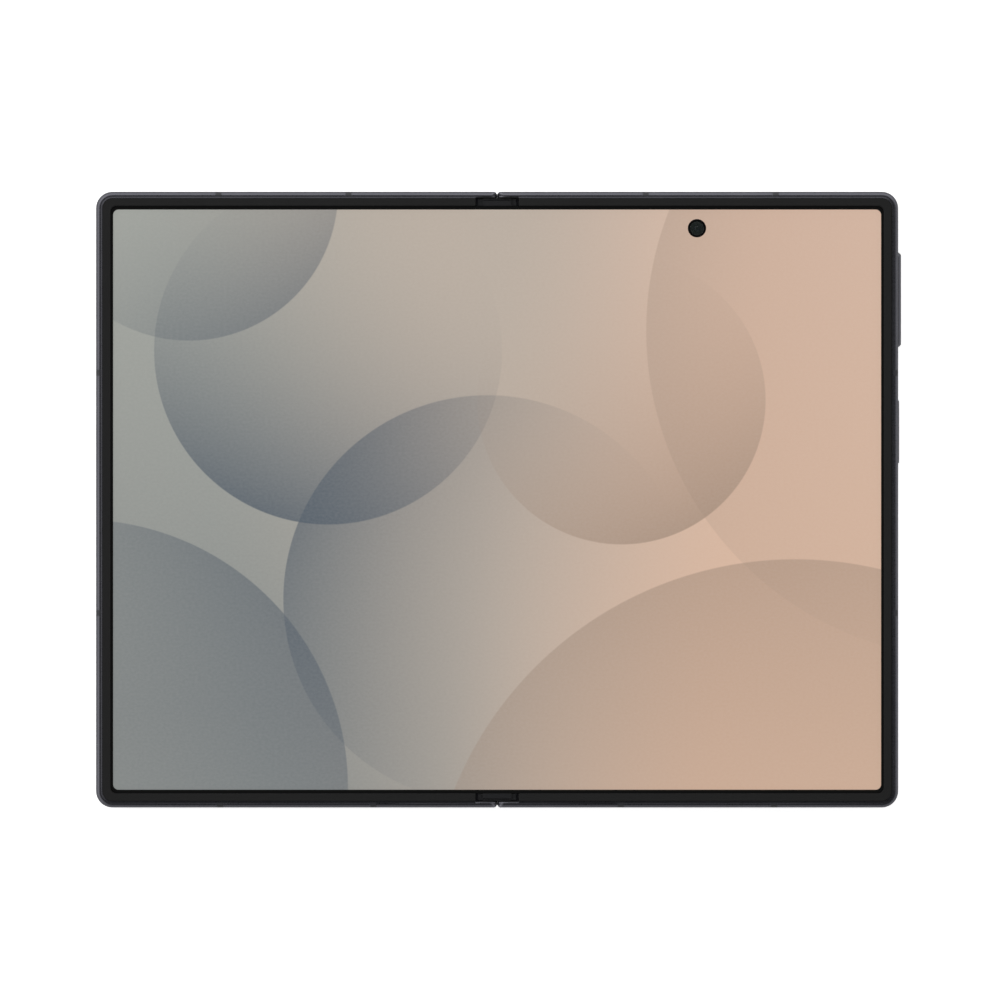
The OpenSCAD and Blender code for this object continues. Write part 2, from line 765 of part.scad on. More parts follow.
// Caps that close both ends of the spine under the rim of the display.
module spine_end_caps() {
  color("#1c1c1d") up_back() for (s = [0, 1]) mirror([0, s, 0]) {
    block([-cap_x, panel_y + fit, 2.2], [cap_x, spine_y - 0.45, half_thick - 0.6]);
    block([-cap_x, panel_y + fit, shell_top], [cap_x, spine_y - 0.12, half_thick - 0.6]);
    block([-cap_side_x, panel_y + fit, 3.5], [cap_side_x, spine_y - 0.12, half_thick - 0.6]);
    block([-cap_x, panel_y + fit, half_thick - 0.7], [cap_x, spine_y - 0.46, half_thick - 0.25]);
    block([-cap_x, spine_y - 0.26, half_thick - 0.8], [cap_x, spine_y - 0.06, half_thick - 0.25]);
  }
}

// Section of a hinge module's block.
module bracket_section() {
  intersection() {
    spine_section(spine_in_r - 0.03, spine_lift + spine_wall);
    translate([-9, 0]) square([18, bracket_top]);
  }
}

// Room for the main half's curved arm in that section, open to the side of the main half.
module arm_way_section() {
  translate([axis_x, axis_z]) difference() {
    union() {
      difference() {
        circle(spine_in_r);
        translate([-5, 0]) square([10, 5]);
        rotate(-arm_angle - 4) translate([-5, -10]) square([10, 10]);
      }
      square([5, 5]);
    }
    circle(arm_r_in - arm_gap);
  }
}

// Blocks of the hinge modules, each with one curved way for either half's arm.
module hinge_brackets() {
  way_w = arm_w + 0.2;
  end_w = module_len / 2 - arm_offset - way_w / 2;
  color("#85888d") up_back() for (y = module_ys) difference() {
    union() {
      along_fold(y, 2 * arm_offset - way_w) bracket_section();
      for (s = [-1, 1]) along_fold(y + s * (module_len - end_w) / 2, end_w) bracket_section();
      along_fold(y + arm_offset, way_w) difference() {
        bracket_section();
        arm_way_section();
      }
      along_fold(y - arm_offset, way_w) difference() {
        bracket_section();
        mirror([1, 0]) arm_way_section();
      }
    }
    for (s = [-1, 1]) translate([0, y + s * (module_len / 2 - 0.9), 0]) {
      cylinder(h = 9, r = 0.4, $fn = 24);
      translate([0, 0, bracket_top - 0.35]) cylinder(h = 1, r = 0.72, $fn = 24);
    }
  }
}

module bracket_screws() {
  color("#b6b9bd") up_back() for (y = module_ys, s = [-1, 1])
    translate([0, y + s * (module_len / 2 - 0.9), 0]) {
      translate([0, 0, 0.92]) cylinder(h = bracket_top - 0.94, r = 0.33, $fn = 24);
      translate([0, 0, bracket_top - 0.35]) cylinder(h = 0.33, r = 0.68, $fn = 24);
    }
}

module spine_plate() {
  color("#8d9196") up_back()
    block([-plate_half, -spine_y + 2.2, bracket_top], [plate_half, spine_y - 2.2, deck_top]);
}

// Slotted plate that carries the folding strip of the display.
module fold_lattice() {
  color("#8d9196") up_back() difference() {
    block([-fold_half, -panel_y, deck_top], [fold_half, panel_y, panel_z]);
    for (x = [-3.2, -1.6, 0, 1.6, 3.2], i = [0 : lattice_rows - 1])
      translate([x - 0.2, (i - (lattice_rows - 1) / 2) * lattice_step - lattice_step / 2 + 1.4, 0])
        cube([0.4, lattice_step - 2.8, 9]);
  }
}

module fold_panel() {
  color("#c9b3a4") up_back()
    block([-fold_half, -panel_y, panel_z], [fold_half, panel_y, panel_top]);
}

module hinge_cables() {
  color("#6b4a2c") up_back() for (s = [-1, 1])
    block([-flex_x, s * flex_y - flex_w / 2, deck_under],
      [flex_x, s * flex_y + flex_w / 2, deck_under + 0.1]);
}

// ---- cover half ----

module cover_frame() {
  color("dimgray") up_back() to_cover() difference() {
    frame_base(-1);
    // slot of the card tray
    side_pill(inner_wall_x - 1, half_width + 1, tray_y, tray_z, tray_len + 0.1, tray_h + 0.1);
    // microphone
    translate([port_x, -half_h - 1, port_z]) rotate([-90, 0, 0])
      cylinder(h = wall + 2, r = mic_r, $fn = 24);
    // slot of the earpiece
    translate([ear_x, half_h - wall - 1, 1.9]) rotate([-90, 0, 0]) linear_extrude(wall + 2)
      pill(10, 0.9);
  }
}

module cover_antenna_bands() {
  color("#3a3c40") up_back() to_cover() intersection() {
    half_solid();
    band_boxes();
  }
}

module cover_display_rim() {
  color("#262626") up_back() to_cover() display_rim();
}

module cover_glass() {
  color("#0d0e10") up_back() to_cover() back_sheet();
}

module cover_screen_panel() {
  color("#15171b") up_back() to_cover() difference() {
    translate([0, 0, glass_t]) linear_extrude(cover_panel_t)
      rrect(glass_fold + 3.1, half_width - 3.4, half_h - 3.4, 2, 2.6);
    translate([cover_cam_x, cover_cam_y, 0]) cylinder(h = 3, r = 2);
  }
}

module cover_camera() {
  color("#15171a") up_back() translate([-cover_cam_x, cover_cam_y, 0]) difference() {
    union() {
      translate([-3.1, -3.1, 1.5]) cube([6.2, 6.2, deck_under - 1.5]);
      translate([0, 0, glass_t]) cylinder(h = 1.2, r = 1.9);
    }
    translate([0, 0, glass_t - 0.1]) cylinder(h = 0.6, r1 = 1.3, r2 = 0.7);
  }
}

module left_display_panel() {
  color("#b5b6ad") up_back() to_cover() display_sheet(panel_z, panel_t);
}

module left_support_plate() {
  color("#8d9196") up_back() to_cover() display_sheet(deck_top, plate_t);
}

module cover_hinge_arms() {
  color("#9a9da2") up_back() to_cover() hinge_arms(-1);
}

module cover_arm_screws() {
  color("#b6b9bd") up_back() to_cover() arm_screws(-1);
}

module cover_board() {
  color("#1f3d33") up_back() to_cover()
    block([cover_battery_x1 + 2, -18, deck_under - board_t], [cavity_x1 - 2.45, cavity_y - 12.2, deck_under]);
}

module cover_battery() {
  color("#24262a") up_back() to_cover()
    block([foot_x1 + inner_gap, 8.2 - cavity_y, 1.4], [cover_battery_x1, cavity_y - 16.2, deck_under]);
}

module earpiece() {
  color("#202225") up_back() to_cover() difference() {
    block([ear_x - ear_w / 2, ear_y1 - ear_d, 1.4], [ear_x + ear_w / 2, ear_y1, deck_under]);
    translate([ear_x, ear_y1 - ear_d + 3, 1.9]) rotate([-90, 0, 0]) linear_extrude(12) pill(10, 0.9);
  }
}

module cover_magnets() {
  color("#8b8e93") up_back() to_cover() intersection() {
    magnet_bars();
    block([0, -half_h, 1.3], [half_width, half_h, deck_under - board_t]);
  }
}

// Metal box that guides the card tray.
module card_reader() {
  color("#c2c4c7") up_back() to_cover() difference() {
    block([cavity_x1 - tray_depth - 0.9, tray_y - tray_w / 2 - 0.45, tray_z - 0.75],
      [cavity_x1 - 0.3, tray_y + tray_w / 2 + 0.45, deck_under]);
    block([cavity_x1 - tray_depth - 0.45, tray_y - tray_w / 2 - 0.1, tray_z - tray_plate / 2 - 0.05],
      [cavity_x1 + 1, tray_y + tray_w / 2 + 0.1, tray_z + tray_plate / 2 + 0.05]);
  }
}

// Tray with its head flush in the frame, a seat for the card and the eject hole.
module card_tray() {
  color("#44474d") up_back() to_cover() difference() {
    union() {
      side_pill(cavity_x1 + 0.1, half_width, tray_y, tray_z, tray_len, tray_h);
      block([cavity_x1 - tray_depth, tray_y - tray_w / 2, tray_z - tray_plate / 2],
        [cavity_x1 + 0.2, tray_y + tray_w / 2, tray_z + tray_plate / 2]);
    }
    block([cavity_x1 - 13.6, tray_y - 4.45, tray_z - 0.25], [cavity_x1 - 1.2, tray_y + 4.45, 9]);
    translate([half_width - 1.5, tray_y + tray_len / 2 - 2, tray_z]) rotate([0, 90, 0])
      cylinder(h = 3, r = 0.4, $fn = 24);
  }
}

module sim_card() {
  color("#d9dbe0") up_back() to_cover()
    block([cavity_x1 - 13.55, tray_y - 4.4, tray_z - 0.25], [cavity_x1 - 1.25, tray_y + 4.4, tray_z + 0.42]);
}

main_frame();
main_antenna_bands();
main_display_rim();
main_back_glass();
camera_island();
camera_lens_glasses();
camera_upper();
camera_middle();
camera_lower();
flash_window();
inner_camera();
main_display_panel();
main_support_plate();
main_hinge_arms();
main_arm_screws();
main_board();
board_screws();
processor_shield();
radio_shield();
main_battery();
charging_coil();
charging_port();
port_board();
loudspeaker();
vibration_motor();
main_magnets();
volume_key();
power_key();
volume_switches();
power_switch();
main_cable();
spine_shell();
spine_end_caps();
hinge_brackets();
bracket_screws();
spine_plate();
fold_lattice();
fold_panel();
hinge_cables();
cover_frame();
cover_antenna_bands();
cover_display_rim();
cover_glass();
cover_screen_panel();
cover_camera();
left_display_panel();
left_support_plate();
cover_hinge_arms();
cover_arm_screws();
cover_board();
cover_battery();
earpiece();
cover_magnets();
card_reader();
card_tray();
sim_card();
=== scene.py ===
"""Looks of the opened foldable phone: metal halves, lit inner display, cameras, keys, port and studio."""

import math

import bmesh
import bpy
from bpy.props import FloatProperty, FloatVectorProperty, IntProperty, PointerProperty
from bpy.types import Operator, Panel, PropertyGroup
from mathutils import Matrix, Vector


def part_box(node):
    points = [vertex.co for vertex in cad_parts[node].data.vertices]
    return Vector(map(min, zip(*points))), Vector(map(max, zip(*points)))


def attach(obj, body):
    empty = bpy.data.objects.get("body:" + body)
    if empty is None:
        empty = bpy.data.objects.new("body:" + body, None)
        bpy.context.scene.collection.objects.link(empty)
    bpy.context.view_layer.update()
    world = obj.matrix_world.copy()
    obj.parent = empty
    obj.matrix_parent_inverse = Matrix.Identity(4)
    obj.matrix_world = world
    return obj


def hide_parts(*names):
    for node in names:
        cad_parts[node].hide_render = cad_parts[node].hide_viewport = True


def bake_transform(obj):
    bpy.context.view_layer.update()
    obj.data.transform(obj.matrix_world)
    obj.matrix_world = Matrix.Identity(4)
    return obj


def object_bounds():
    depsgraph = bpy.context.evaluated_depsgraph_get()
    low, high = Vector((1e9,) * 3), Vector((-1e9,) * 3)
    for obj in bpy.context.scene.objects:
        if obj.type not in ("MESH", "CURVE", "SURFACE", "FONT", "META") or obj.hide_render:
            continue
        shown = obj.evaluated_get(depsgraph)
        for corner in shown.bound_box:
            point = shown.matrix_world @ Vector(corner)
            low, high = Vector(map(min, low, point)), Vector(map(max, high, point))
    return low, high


bl_info = {
    "name": "Foldable phone looks",
    "version": (1, 0, 0),
    "blender": (4, 5, 0),
    "location": "View3D > Sidebar > Phone",
    "description": "Finishes and fine parts of a foldable phone",
    "category": "Object",
}

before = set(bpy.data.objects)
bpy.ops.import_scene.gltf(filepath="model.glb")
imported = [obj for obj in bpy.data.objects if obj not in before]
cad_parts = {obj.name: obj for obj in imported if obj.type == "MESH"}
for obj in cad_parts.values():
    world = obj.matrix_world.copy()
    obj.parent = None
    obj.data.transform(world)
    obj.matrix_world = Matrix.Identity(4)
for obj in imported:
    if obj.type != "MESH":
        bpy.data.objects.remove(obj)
cad_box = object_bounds()
MM = 0.001

# places and sizes that the part's source gives, in millimetres
HALF_SIZE = (80.7, 61.95)
CORNER = 3.3
STRIP_IN = 0.99
INNER_CAMERA = (40.2, 54.6)
COVER_CAMERA = (-41.275, 53.4)
REAR_X = 66.5
# for each rear camera its place along Y, the radius of its barrel and that of its bore
REAR_LENSES = {"upper": (50.3, 4.3, 2.4), "middle": (36.3, 4.7, 3.2), "lower": (22.3, 4.0, 2.0)}
WINDOW_RADIUS = 5.3
FLASH = (53.6, 50.3)
PORT = (40.2, 3.5)
SPEAKER_X = 64.6
SOUND_HOLES_Z = 3.5
GAUZE_Y = 61.45
KEYS_Z = 3.55
SIM_CARD = (-71.5, -41)
FOLD_STRIP = 4.38
# the two parts of a piece across the fold: their ends along X and the bodies at these ends
BENDS = (("left", -FOLD_STRIP, 0, "cover_half", "spine"), ("right", 0, FOLD_STRIP, "spine", "main_half"))
# half the width and height of the picture's map, in millimetres
PICTURE_REACH = (80, 60)

# corners nearer than this many metres are merged, and those nearer than SAME lie in one plane
WELD = 2e-7
SAME = 2e-6
# a wave texture repeats each metre at this scale
WAVE = math.pi / 10

# the stage, in metres: softboxes, the middle of the photo and the height of the display's face
SOFTBOXES = {"softbox_top": (0.0, 0.8, 0.75), "softbox_left": (-0.8, 0.0, 0.75)}
SOFTBOX_SIZE = (1.9, 1.1)
PHOTO_MIDDLE = (0.00058, -0.00007)
DISPLAY_FACE = 0.0057


def shade(red, green, blue):
    """Linear colour of screen values from 0 to 255."""
    def line(value):
        value /= 255
        return value / 12.92 if value <= 0.04045 else ((value + 0.055) / 1.055) ** 2.4
    return (line(red), line(green), line(blue))


# ---------------------------------------------------------------- settings


def colour(name, description, *screen):
    """A colour that a user may change, given in screen values."""
    return FloatVectorProperty(
        name=name, description=description, subtype="COLOR", size=3, min=0, max=1, default=shade(*screen))


def length(name, description, default, low, high):
    """A length in metres that a user may change."""
    return FloatProperty(
        name=name, description=description, default=default, min=low, max=high, unit="LENGTH")


def amount(name, description, default, high=2):
    """A plain number, from 0 up, that a user may change."""
    return FloatProperty(name=name, description=description, default=default, min=0, max=high)


class MetalSettings(PropertyGroup):
    rail_colour: colour("Rail colour", "Anodised metal of both frames", 92, 92, 98)
    spine_colour: colour("Spine colour", "Metal of the hinge spine", 84, 84, 90)
    steel_colour: colour("Steel colour", "Plates, arms and screws", 170, 172, 176)
    grain: length("Blasted grain", "Size of the blasted grain", 0.00011, 0.00002, 0.001)
    key_rounding: length("Key rounding", "Rounding of the keys' outer edges", 0.00056, 0.0001, 0.0006)


class PlasticSettings(PropertyGroup):
    rim_colour: colour("Rim colour", "Soft rim round the display", 25, 25, 25)
    cap_colour: colour("Cap colour", "Caps at the ends of the spine", 26, 26, 28)
    band_colour: colour("Band colour", "Plastic bands in the metal frames", 46, 46, 50)
    rim_rounding: length("Rim rounding", "Rounding of the rim's edges", 0.0001, 0, 0.0004)


class GlassSettings(PropertyGroup):
    back_colour: colour("Back colour", "Satin back glass", 58, 60, 64)
    cover_colour: colour("Cover colour", "Outer screen's black glass", 10, 10, 12)
    # the coating's tint is painted on the front lenses as their coloured reflection
    coating: colour("Lens coating", "Tint of the lens coatings", 40, 48, 84)
    glass_rounding: length("Glass rounding", "Rounding of the glass edges", 0.00014, 0, 0.0003)


class PictureSettings(PropertyGroup):
    left_low: colour("Left, below", "Ground colour", 139, 142, 140)
    left_high: colour("Left, above", "Ground colour", 164, 166, 160)
    middle: colour("Middle", "Ground colour", 186, 174, 162)
    right_low: colour("Right, below", "Ground colour", 215, 182, 159)
    right_high: colour("Right, above", "Ground colour", 218, 187, 167)
    slate: colour("Slate", "Dark sheets on the left", 84, 95, 106)
    clay: colour("Clay", "Warm sheets on the right", 160, 138, 122)
    glow: amount("Glow", "Share of the picture that shines by itself", 0.345, 1)
    half_width: length("Half width", "Half the width of the lit area", 0.07724, 0.07, 0.0776)
    half_height: length("Half height", "Half the height of the lit area", 0.05835, 0.05, 0.0587)


class FineSettings(PropertyGroup):
    contacts: IntProperty(
        name="Contacts", description="Contacts on each side of the port's tongue", default=12, min=4, max=12)
    coil_turns: IntProperty(
        name="Coil turns", description="Turns of the charging coil", default=13, min=5, max=16)
    gauze_radius: length("Gauze radius", "Radius of the gauze in a sound hole", 0.00046, 0.0002, 0.0005)


class StageSettings(PropertyGroup):
    overhead: amount("Overhead light", "Strength of the room straight above", 0.07)
    horizon: amount("Wall light", "Strength of the pale walls all round", 1.0)
    softbox: FloatProperty(
        name="Softboxes", description="Power of each large softbox", default=3.0, min=0, max=60, unit="POWER")
    distance: length("Camera distance", "Camera above the display", 2.0, 0.5, 5)
    picture_width: length("Picture width", "Width that the camera sees at the display", 0.20116, 0.1, 1)


SETTINGS = {
    "phone_metal": MetalSettings,
    "phone_plastic": PlasticSettings,
    "phone_glass": GlassSettings,
    "phone_picture": PictureSettings,
    "phone_fine": FineSettings,
    "phone_stage": StageSettings,
}


# ---------------------------------------------------------------- node trees


class Nodes:
    """Short ways to write a tree of nodes."""

    prefix = "ShaderNode"

    def __init__(self, tree):
        self.tree = tree
        tree.nodes.clear()

    def node(self, kind, settings=None, **values):
        """A node with its properties and its named inputs, each a number, a colour or another socket."""
        node = self.tree.nodes.new(self.prefix + kind)
        for key, value in (settings or {}).items():
            setattr(node, key, value)
        for key, value in values.items():
            self.feed(node.inputs[key.replace("_", " ")], value)
        return node

    def feed(self, socket, value):
        if isinstance(value, bpy.types.NodeSocket):
            self.tree.links.new(value, socket)
        elif hasattr(value, "__len__") and len(value) == 3 and socket.type == "RGBA":
            socket.default_value = (*value, 1)
        else:
            socket.default_value = value

    def maths(self, operation, one, two=0.0):
        node = self.node("Math", {"operation": operation})
        self.feed(node.inputs[0], one)
        self.feed(node.inputs[1], two)
        return node.outputs[0]

    def plus(self, one, two):
        return self.maths("ADD", one, two)

    def minus(self, one, two):
        return self.maths("SUBTRACT", one, two)

    def times(self, one, two):
        return self.maths("MULTIPLY", one, two)

    def size(self, value):
        return self.maths("ABSOLUTE", value)

    def distance(self, one, two):
        """Length of the diagonal of two sides."""
        return self.maths("SQRT", self.plus(self.times(one, one), self.times(two, two)))

    def remap(self, value, low, high, new_low=0.0, new_high=1.0, smooth=False):
        kind = "SMOOTHSTEP" if smooth else "LINEAR"
        node = self.node("MapRange", {"clamp": True, "interpolation_type": kind})
        for socket, number in zip(node.inputs, (value, low, high, new_low, new_high)):
            self.feed(socket, number)
        return node.outputs[0]

    def mix(self, share, one, two, blend="MIX"):
        node = self.node("Mix", {"data_type": "RGBA", "blend_type": blend})
        for index, value in ((0, share), (6, one), (7, two)):
            self.feed(node.inputs[index], value)
        return node.outputs[2]


class Finish(Nodes):
    """A material with a principled shader and the patterns that drive it."""

    SOCKETS = {
        "specular": "Specular IOR Level", "coat": "Coat Weight", "coat_roughness": "Coat Roughness",
        "transmission": "Transmission Weight", "ior": "IOR", "alpha": "Alpha",
    }

    def __init__(self, name, colour, roughness, metallic=0.0, **more):
        self.material = bpy.data.materials.new(name)
        self.material.use_nodes = True
        super().__init__(self.material.node_tree)
        self.shader = self.node("BsdfPrincipled", Base_Color=colour, Roughness=roughness, Metallic=metallic)
        self.node("OutputMaterial", Surface=self.shader.outputs[0])
        for word, value in more.items():
            self.feed(self.shader.inputs[self.SOCKETS[word]], value)
        self.normal = None
        self.material.diffuse_color = (*colour, 1)

    def drive(self, **values):
        """Links values to the shader's own inputs."""
        for key, value in values.items():
            self.feed(self.shader.inputs[key.replace("_", " ")], value)

    def place(self, scale=(1, 1, 1), centre=(0, 0), turn=0.0):
        """Object coordinates, scaled to the pattern and counted from a centre in millimetres."""
        where = self.node("TexCoord").outputs["Object"]
        shift, spin = (-centre[0] * MM, -centre[1] * MM, 0), (0, 0, turn)
        return self.node("Mapping", Vector=where, Location=shift, Scale=scale, Rotation=spin).outputs[0]

    def parts(self, where):
        return self.node("SeparateXYZ", Vector=where).outputs

    def noise(self, where, size, detail=2.0, rough=0.5):
        """Clouds whose features are about size metres."""
        return self.node("TexNoise", Vector=where, Scale=1 / size, Detail=detail, Roughness=rough).outputs[0]

    def cells(self, where, size, feature="F1", metric="EUCLIDEAN", scatter=1.0):
        kinds = {"feature": feature, "distance": metric}
        cells = self.node("TexVoronoi", kinds, Vector=where, Scale=1 / size, Randomness=scatter)
        return cells.outputs["Distance"]

    def stripes(self, where, size, axis):
        kinds = {"bands_direction": axis, "wave_profile": "SIN"}
        return self.node("TexWave", kinds, Vector=where, Scale=WAVE / size, Distortion=0.0).outputs[1]

    def rings(self, where, size, profile="SIN"):
        kinds = {"wave_type": "RINGS", "rings_direction": "Z", "wave_profile": profile}
        return self.node("TexWave", kinds, Vector=where, Scale=WAVE / size).outputs[1]

    def tint(self, share, one, two):
        self.drive(Base_Color=self.mix(share, one, two))

    def gloss(self, value, low, high, new_low, new_high):
        self.drive(Roughness=self.remap(value, low, high, new_low, new_high))

    def relief(self, height, depth, strength=1.0):
        """Bump of the given depth in metres, on top of the reliefs before it."""
        bump = self.node("Bump", Height=height, Distance=depth, Strength=strength)
        if self.normal:
            self.feed(bump.inputs["Normal"], self.normal)
        self.normal = bump.outputs[0]
        self.drive(Normal=self.normal)


# ---------------------------------------------------------------- finishes


def lighter(colour, factor):
    return tuple(min(1.0, part * factor) for part in colour)


def blasted_metal(name, colour, grain, roughness=0.36, painted_fold_highlight=False):
    """Anodised metal: blasted grain, cloudy dye and hairline rubs, where asked with a painted highlight
    beside the fold, drawn as paler and rougher metal.
    """
    metal = Finish(name, colour, roughness, 1.0)
    here = metal.place()
    dye = metal.mix(metal.noise(here, 0.009, 3), lighter(colour, 0.92), lighter(colour, 1.08))
    fine = metal.noise(here, grain, 2, 0.6)
    rubs = metal.noise(metal.place((1, 60, 60), turn=0.3), 0.02, 4, 0.7)
    marks = metal.plus(fine, metal.times(rubs, 0.5))
    rough = metal.remap(marks, 0.4, 1.1, roughness - 0.05, roughness + 0.07)
    if painted_fold_highlight:
        # painted highlight: paler, rougher metal high on the frame beside the fold, where its rounded corners
        # catch light
        spot = metal.parts(here)
        beside = metal.remap(metal.size(spot[0]), 0.0006, 0.0013, 1, 0, True)
        edge = metal.times(beside, metal.remap(spot[2], 0.0045, 0.0052, 0, 1, True))
        dye = metal.mix(edge, dye, lighter(colour, 1.8))
        rough = metal.maths("MAXIMUM", rough, metal.times(edge, 0.5))
    metal.drive(Base_Color=dye, Roughness=rough)
    metal.relief(fine, grain * 0.06, 0.5)
    return metal.material


def brushed_steel(name, colour, roughness=0.3, along="Y"):
    """Rolled or brushed steel with long fine lines."""
    steel = Finish(name, colour, roughness, 1.0)
    lines = steel.noise(steel.place((120, 1, 120) if along == "Y" else (1, 120, 120)), 0.012, 5, 0.75)
    steel.tint(steel.noise(steel.place(), 0.006, 2), lighter(colour, 0.85), lighter(colour, 1.05))
    steel.gloss(lines, 0.3, 0.7, roughness - 0.08, roughness + 0.12)
    steel.relief(lines, 0.00001, 0.4)
    return steel.material


def moulded_plastic(name, colour, roughness=0.6, grain=0.00016, specular=0.35):
    """Moulded plastic with a spark-eroded grain and faint flow clouds."""
    plastic = Finish(name, colour, roughness, specular=specular)
    here = plastic.place()
    plastic.tint(plastic.noise(here, 0.012, 3), lighter(colour, 0.88), lighter(colour, 1.14))
    plastic.gloss(plastic.noise(here, grain * 2, 2), 0.3, 0.7, roughness - 0.06, roughness + 0.06)
    plastic.relief(plastic.cells(here, grain), grain * 0.1, 0.35)
    return plastic.material


def satin_glass(name, colour):
    """Etched back glass: silky, with a painted sparkle of small pale dots and slight depth of colour."""
    glass = Finish(name, colour, 0.34, specular=0.5, coat=0.25, coat_roughness=0.28)
    here = glass.place()
    etch = glass.noise(here, 0.00012, 2, 0.6)
    # painted sparkle: small pale dots that stand in for glints off the etched grain
    painted_sparkle = glass.remap(glass.cells(here, 0.0003), 0.0, 0.12, 1.0, 0.0)
    base = glass.mix(glass.noise(here, 0.03, 3), lighter(colour, 0.93), lighter(colour, 1.07))
    glass.tint(glass.times(painted_sparkle, 0.25), base, lighter(colour, 2.2))
    glass.gloss(etch, 0.3, 0.7, 0.30, 0.40)
    glass.relief(etch, 0.000006, 0.4)
    return glass.material


def screen_glass(name, colour):
    """Outer screen, switched off: black border ink, a faintly bluer active area and the marks of use."""
    glass = Finish(name, colour, 0.06, specular=0.35, coat=0.12, coat_roughness=0.03)
    x, y, _ = glass.parts(glass.place())
    left, right, half, edge = 0.0759, 0.0076, 0.0571, 0.0001
    inside_x = glass.times(glass.remap(x, -left, -left + edge), glass.remap(x, -right - edge, -right, 1, 0))
    inside_y = glass.remap(glass.size(y), half - edge, half, 1, 0)
    smear = glass.noise(glass.place((1, 2.2, 1), turn=0.5), 0.018, 4, 0.6)
    lit = (colour[0] * 1.8, colour[1] * 2.0, colour[2] * 2.6)
    glass.tint(glass.times(inside_x, inside_y), colour, lit)
    glass.gloss(smear, 0.35, 0.75, 0.04, 0.13)
    return glass.material


def clear_glass(name, tint):
    """Polished window with the faintest polishing lines."""
    glass = Finish(name, tint, 0.0, transmission=1.0, ior=1.45)
    lines = glass.noise(glass.place(), 0.0016, 3)
    glass.tint(lines, lighter(tint, 0.98), tint)
    glass.gloss(lines, 0.35, 0.7, 0.0, 0.012)
    return glass.material


def tinted_window(name, tint, alpha):
    """Dark camera window: its own tint over what lies behind it, with the faintest wipe marks."""
    glass = Finish(name, tint, 0.05, specular=0.4, alpha=alpha)
    marks = glass.noise(glass.place(), 0.0016, 3)
    glass.tint(marks, lighter(tint, 0.9), lighter(tint, 1.1))
    glass.gloss(marks, 0.35, 0.7, 0.04, 0.09)
    return glass.material


def lens_dome(name, centre, radius, coating):
    """Front lens: a painted dark centre, the shade deep in the barrel, and rings in the coating's tint, a
    painted coloured reflection of the coating.
    """
    dome = Finish(name, (0.004, 0.005, 0.008), 0.05, specular=0.45, coat=0.4, coat_roughness=0.02)
    near = dome.place(centre=centre)
    x, y, _ = dome.parts(near)
    share = dome.maths("DIVIDE", dome.distance(x, y), radius * MM)
    # painted reflection: a ring in the coating's tint, where the coating's coloured reflection would show
    ring = dome.times(dome.remap(share, 0.40, 0.62, 0, 1, True), dome.remap(share, 0.62, 0.9, 1, 0, True))
    smear = dome.noise(near, 0.0009, 2)
    # painted shade: the middle darker, where one looks into the dark barrel
    painted_centre_shade = dome.remap(share, 0.25, 0.42, 0, 1, True)
    base = dome.mix(painted_centre_shade, (0.003, 0.003, 0.005), (0.010, 0.016, 0.014))
    dome.tint(dome.times(ring, dome.remap(smear, 0.3, 0.7, 0.5, 1.0)), base, coating)
    dome.gloss(smear, 0.3, 0.7, 0.03, 0.08)
    return dome.material


def ridged_black(name, centre, colour=(0.010, 0.011, 0.012), pitch=0.00022):
    """Matt black of a lens cell, with the fine rings that catch stray light."""
    cell = Finish(name, colour, 0.5, specular=0.4)
    near = cell.place(centre=centre)
    rings = cell.rings(near, pitch)
    cell.tint(cell.noise(near, 0.0005, 3), lighter(colour, 0.7), lighter(colour, 1.6))
    cell.gloss(rings, 0, 1, 0.38, 0.6)
    cell.relief(rings, 0.00002, 0.6)
    return cell.material


def circuit_board(name):
    """Solder mask over copper: traces, tinned pads and plated holes."""
    mask, copper, tin = shade(14, 30, 26), shade(24, 48, 38), shade(168, 166, 160)
    board = Finish(name, mask, 0.35, specular=0.5, coat=0.3, coat_roughness=0.2)
    here = board.place()
    traces = board.remap(board.cells(here, 0.0021, "DISTANCE_TO_EDGE", scatter=0.85), 0.03, 0.05, 1, 0)
    pads = board.remap(board.cells(here, 0.0009, "F1", "CHEBYCHEV", 0.6), 0.17, 0.2, 1, 0)
    pads = board.times(pads, board.remap(board.noise(here, 0.004, 1), 0.52, 0.56))
    board.tint(pads, board.mix(traces, mask, copper), tin)
    board.drive(Metallic=board.remap(pads, 0, 1, 0, 0.9))
    board.relief(board.maths("MAXIMUM", traces, pads), 0.00003, 0.7)
    return board.material


def tin_can(name):
    """Pressed tin shield with rows of small vent holes, painted dark for the shade in them, and a rolled
    skin.
    """
    can = Finish(name, shade(176, 176, 172), 0.34, 1.0)
    vent_holes_and_shade = can.remap(can.cells(can.place(), 0.0016, scatter=0.0), 0.13, 0.17, 1, 0)
    # painted shade: the vent holes are dark because they lie in shade
    can.tint(vent_holes_and_shade, shade(176, 176, 172), shade(36, 36, 36))
    can.gloss(can.noise(can.place((1, 30, 1)), 0.004, 4, 0.7), 0.3, 0.7, 0.26, 0.44)
    can.relief(can.minus(1.0, vent_holes_and_shade), 0.00008, 0.6)
    return can.material


def foil_pouch(name):
    """Battery pouch: black laminated foil with soft creases and a taped band."""
    foil = Finish(name, shade(34, 34, 36), 0.42, 0.1, specular=0.5)
    creases = foil.noise(foil.place((1, 2.5, 1), turn=0.2), 0.007, 5, 0.65)
    band = foil.remap(foil.size(foil.parts(foil.place())[1]), 0.0085, 0.0087, 1, 0)
    foil.tint(band, shade(34, 34, 36), shade(60, 58, 50))
    foil.gloss(creases, 0.3, 0.7, 0.3, 0.52)
    foil.relief(creases, 0.00012, 0.5)
    return foil.material


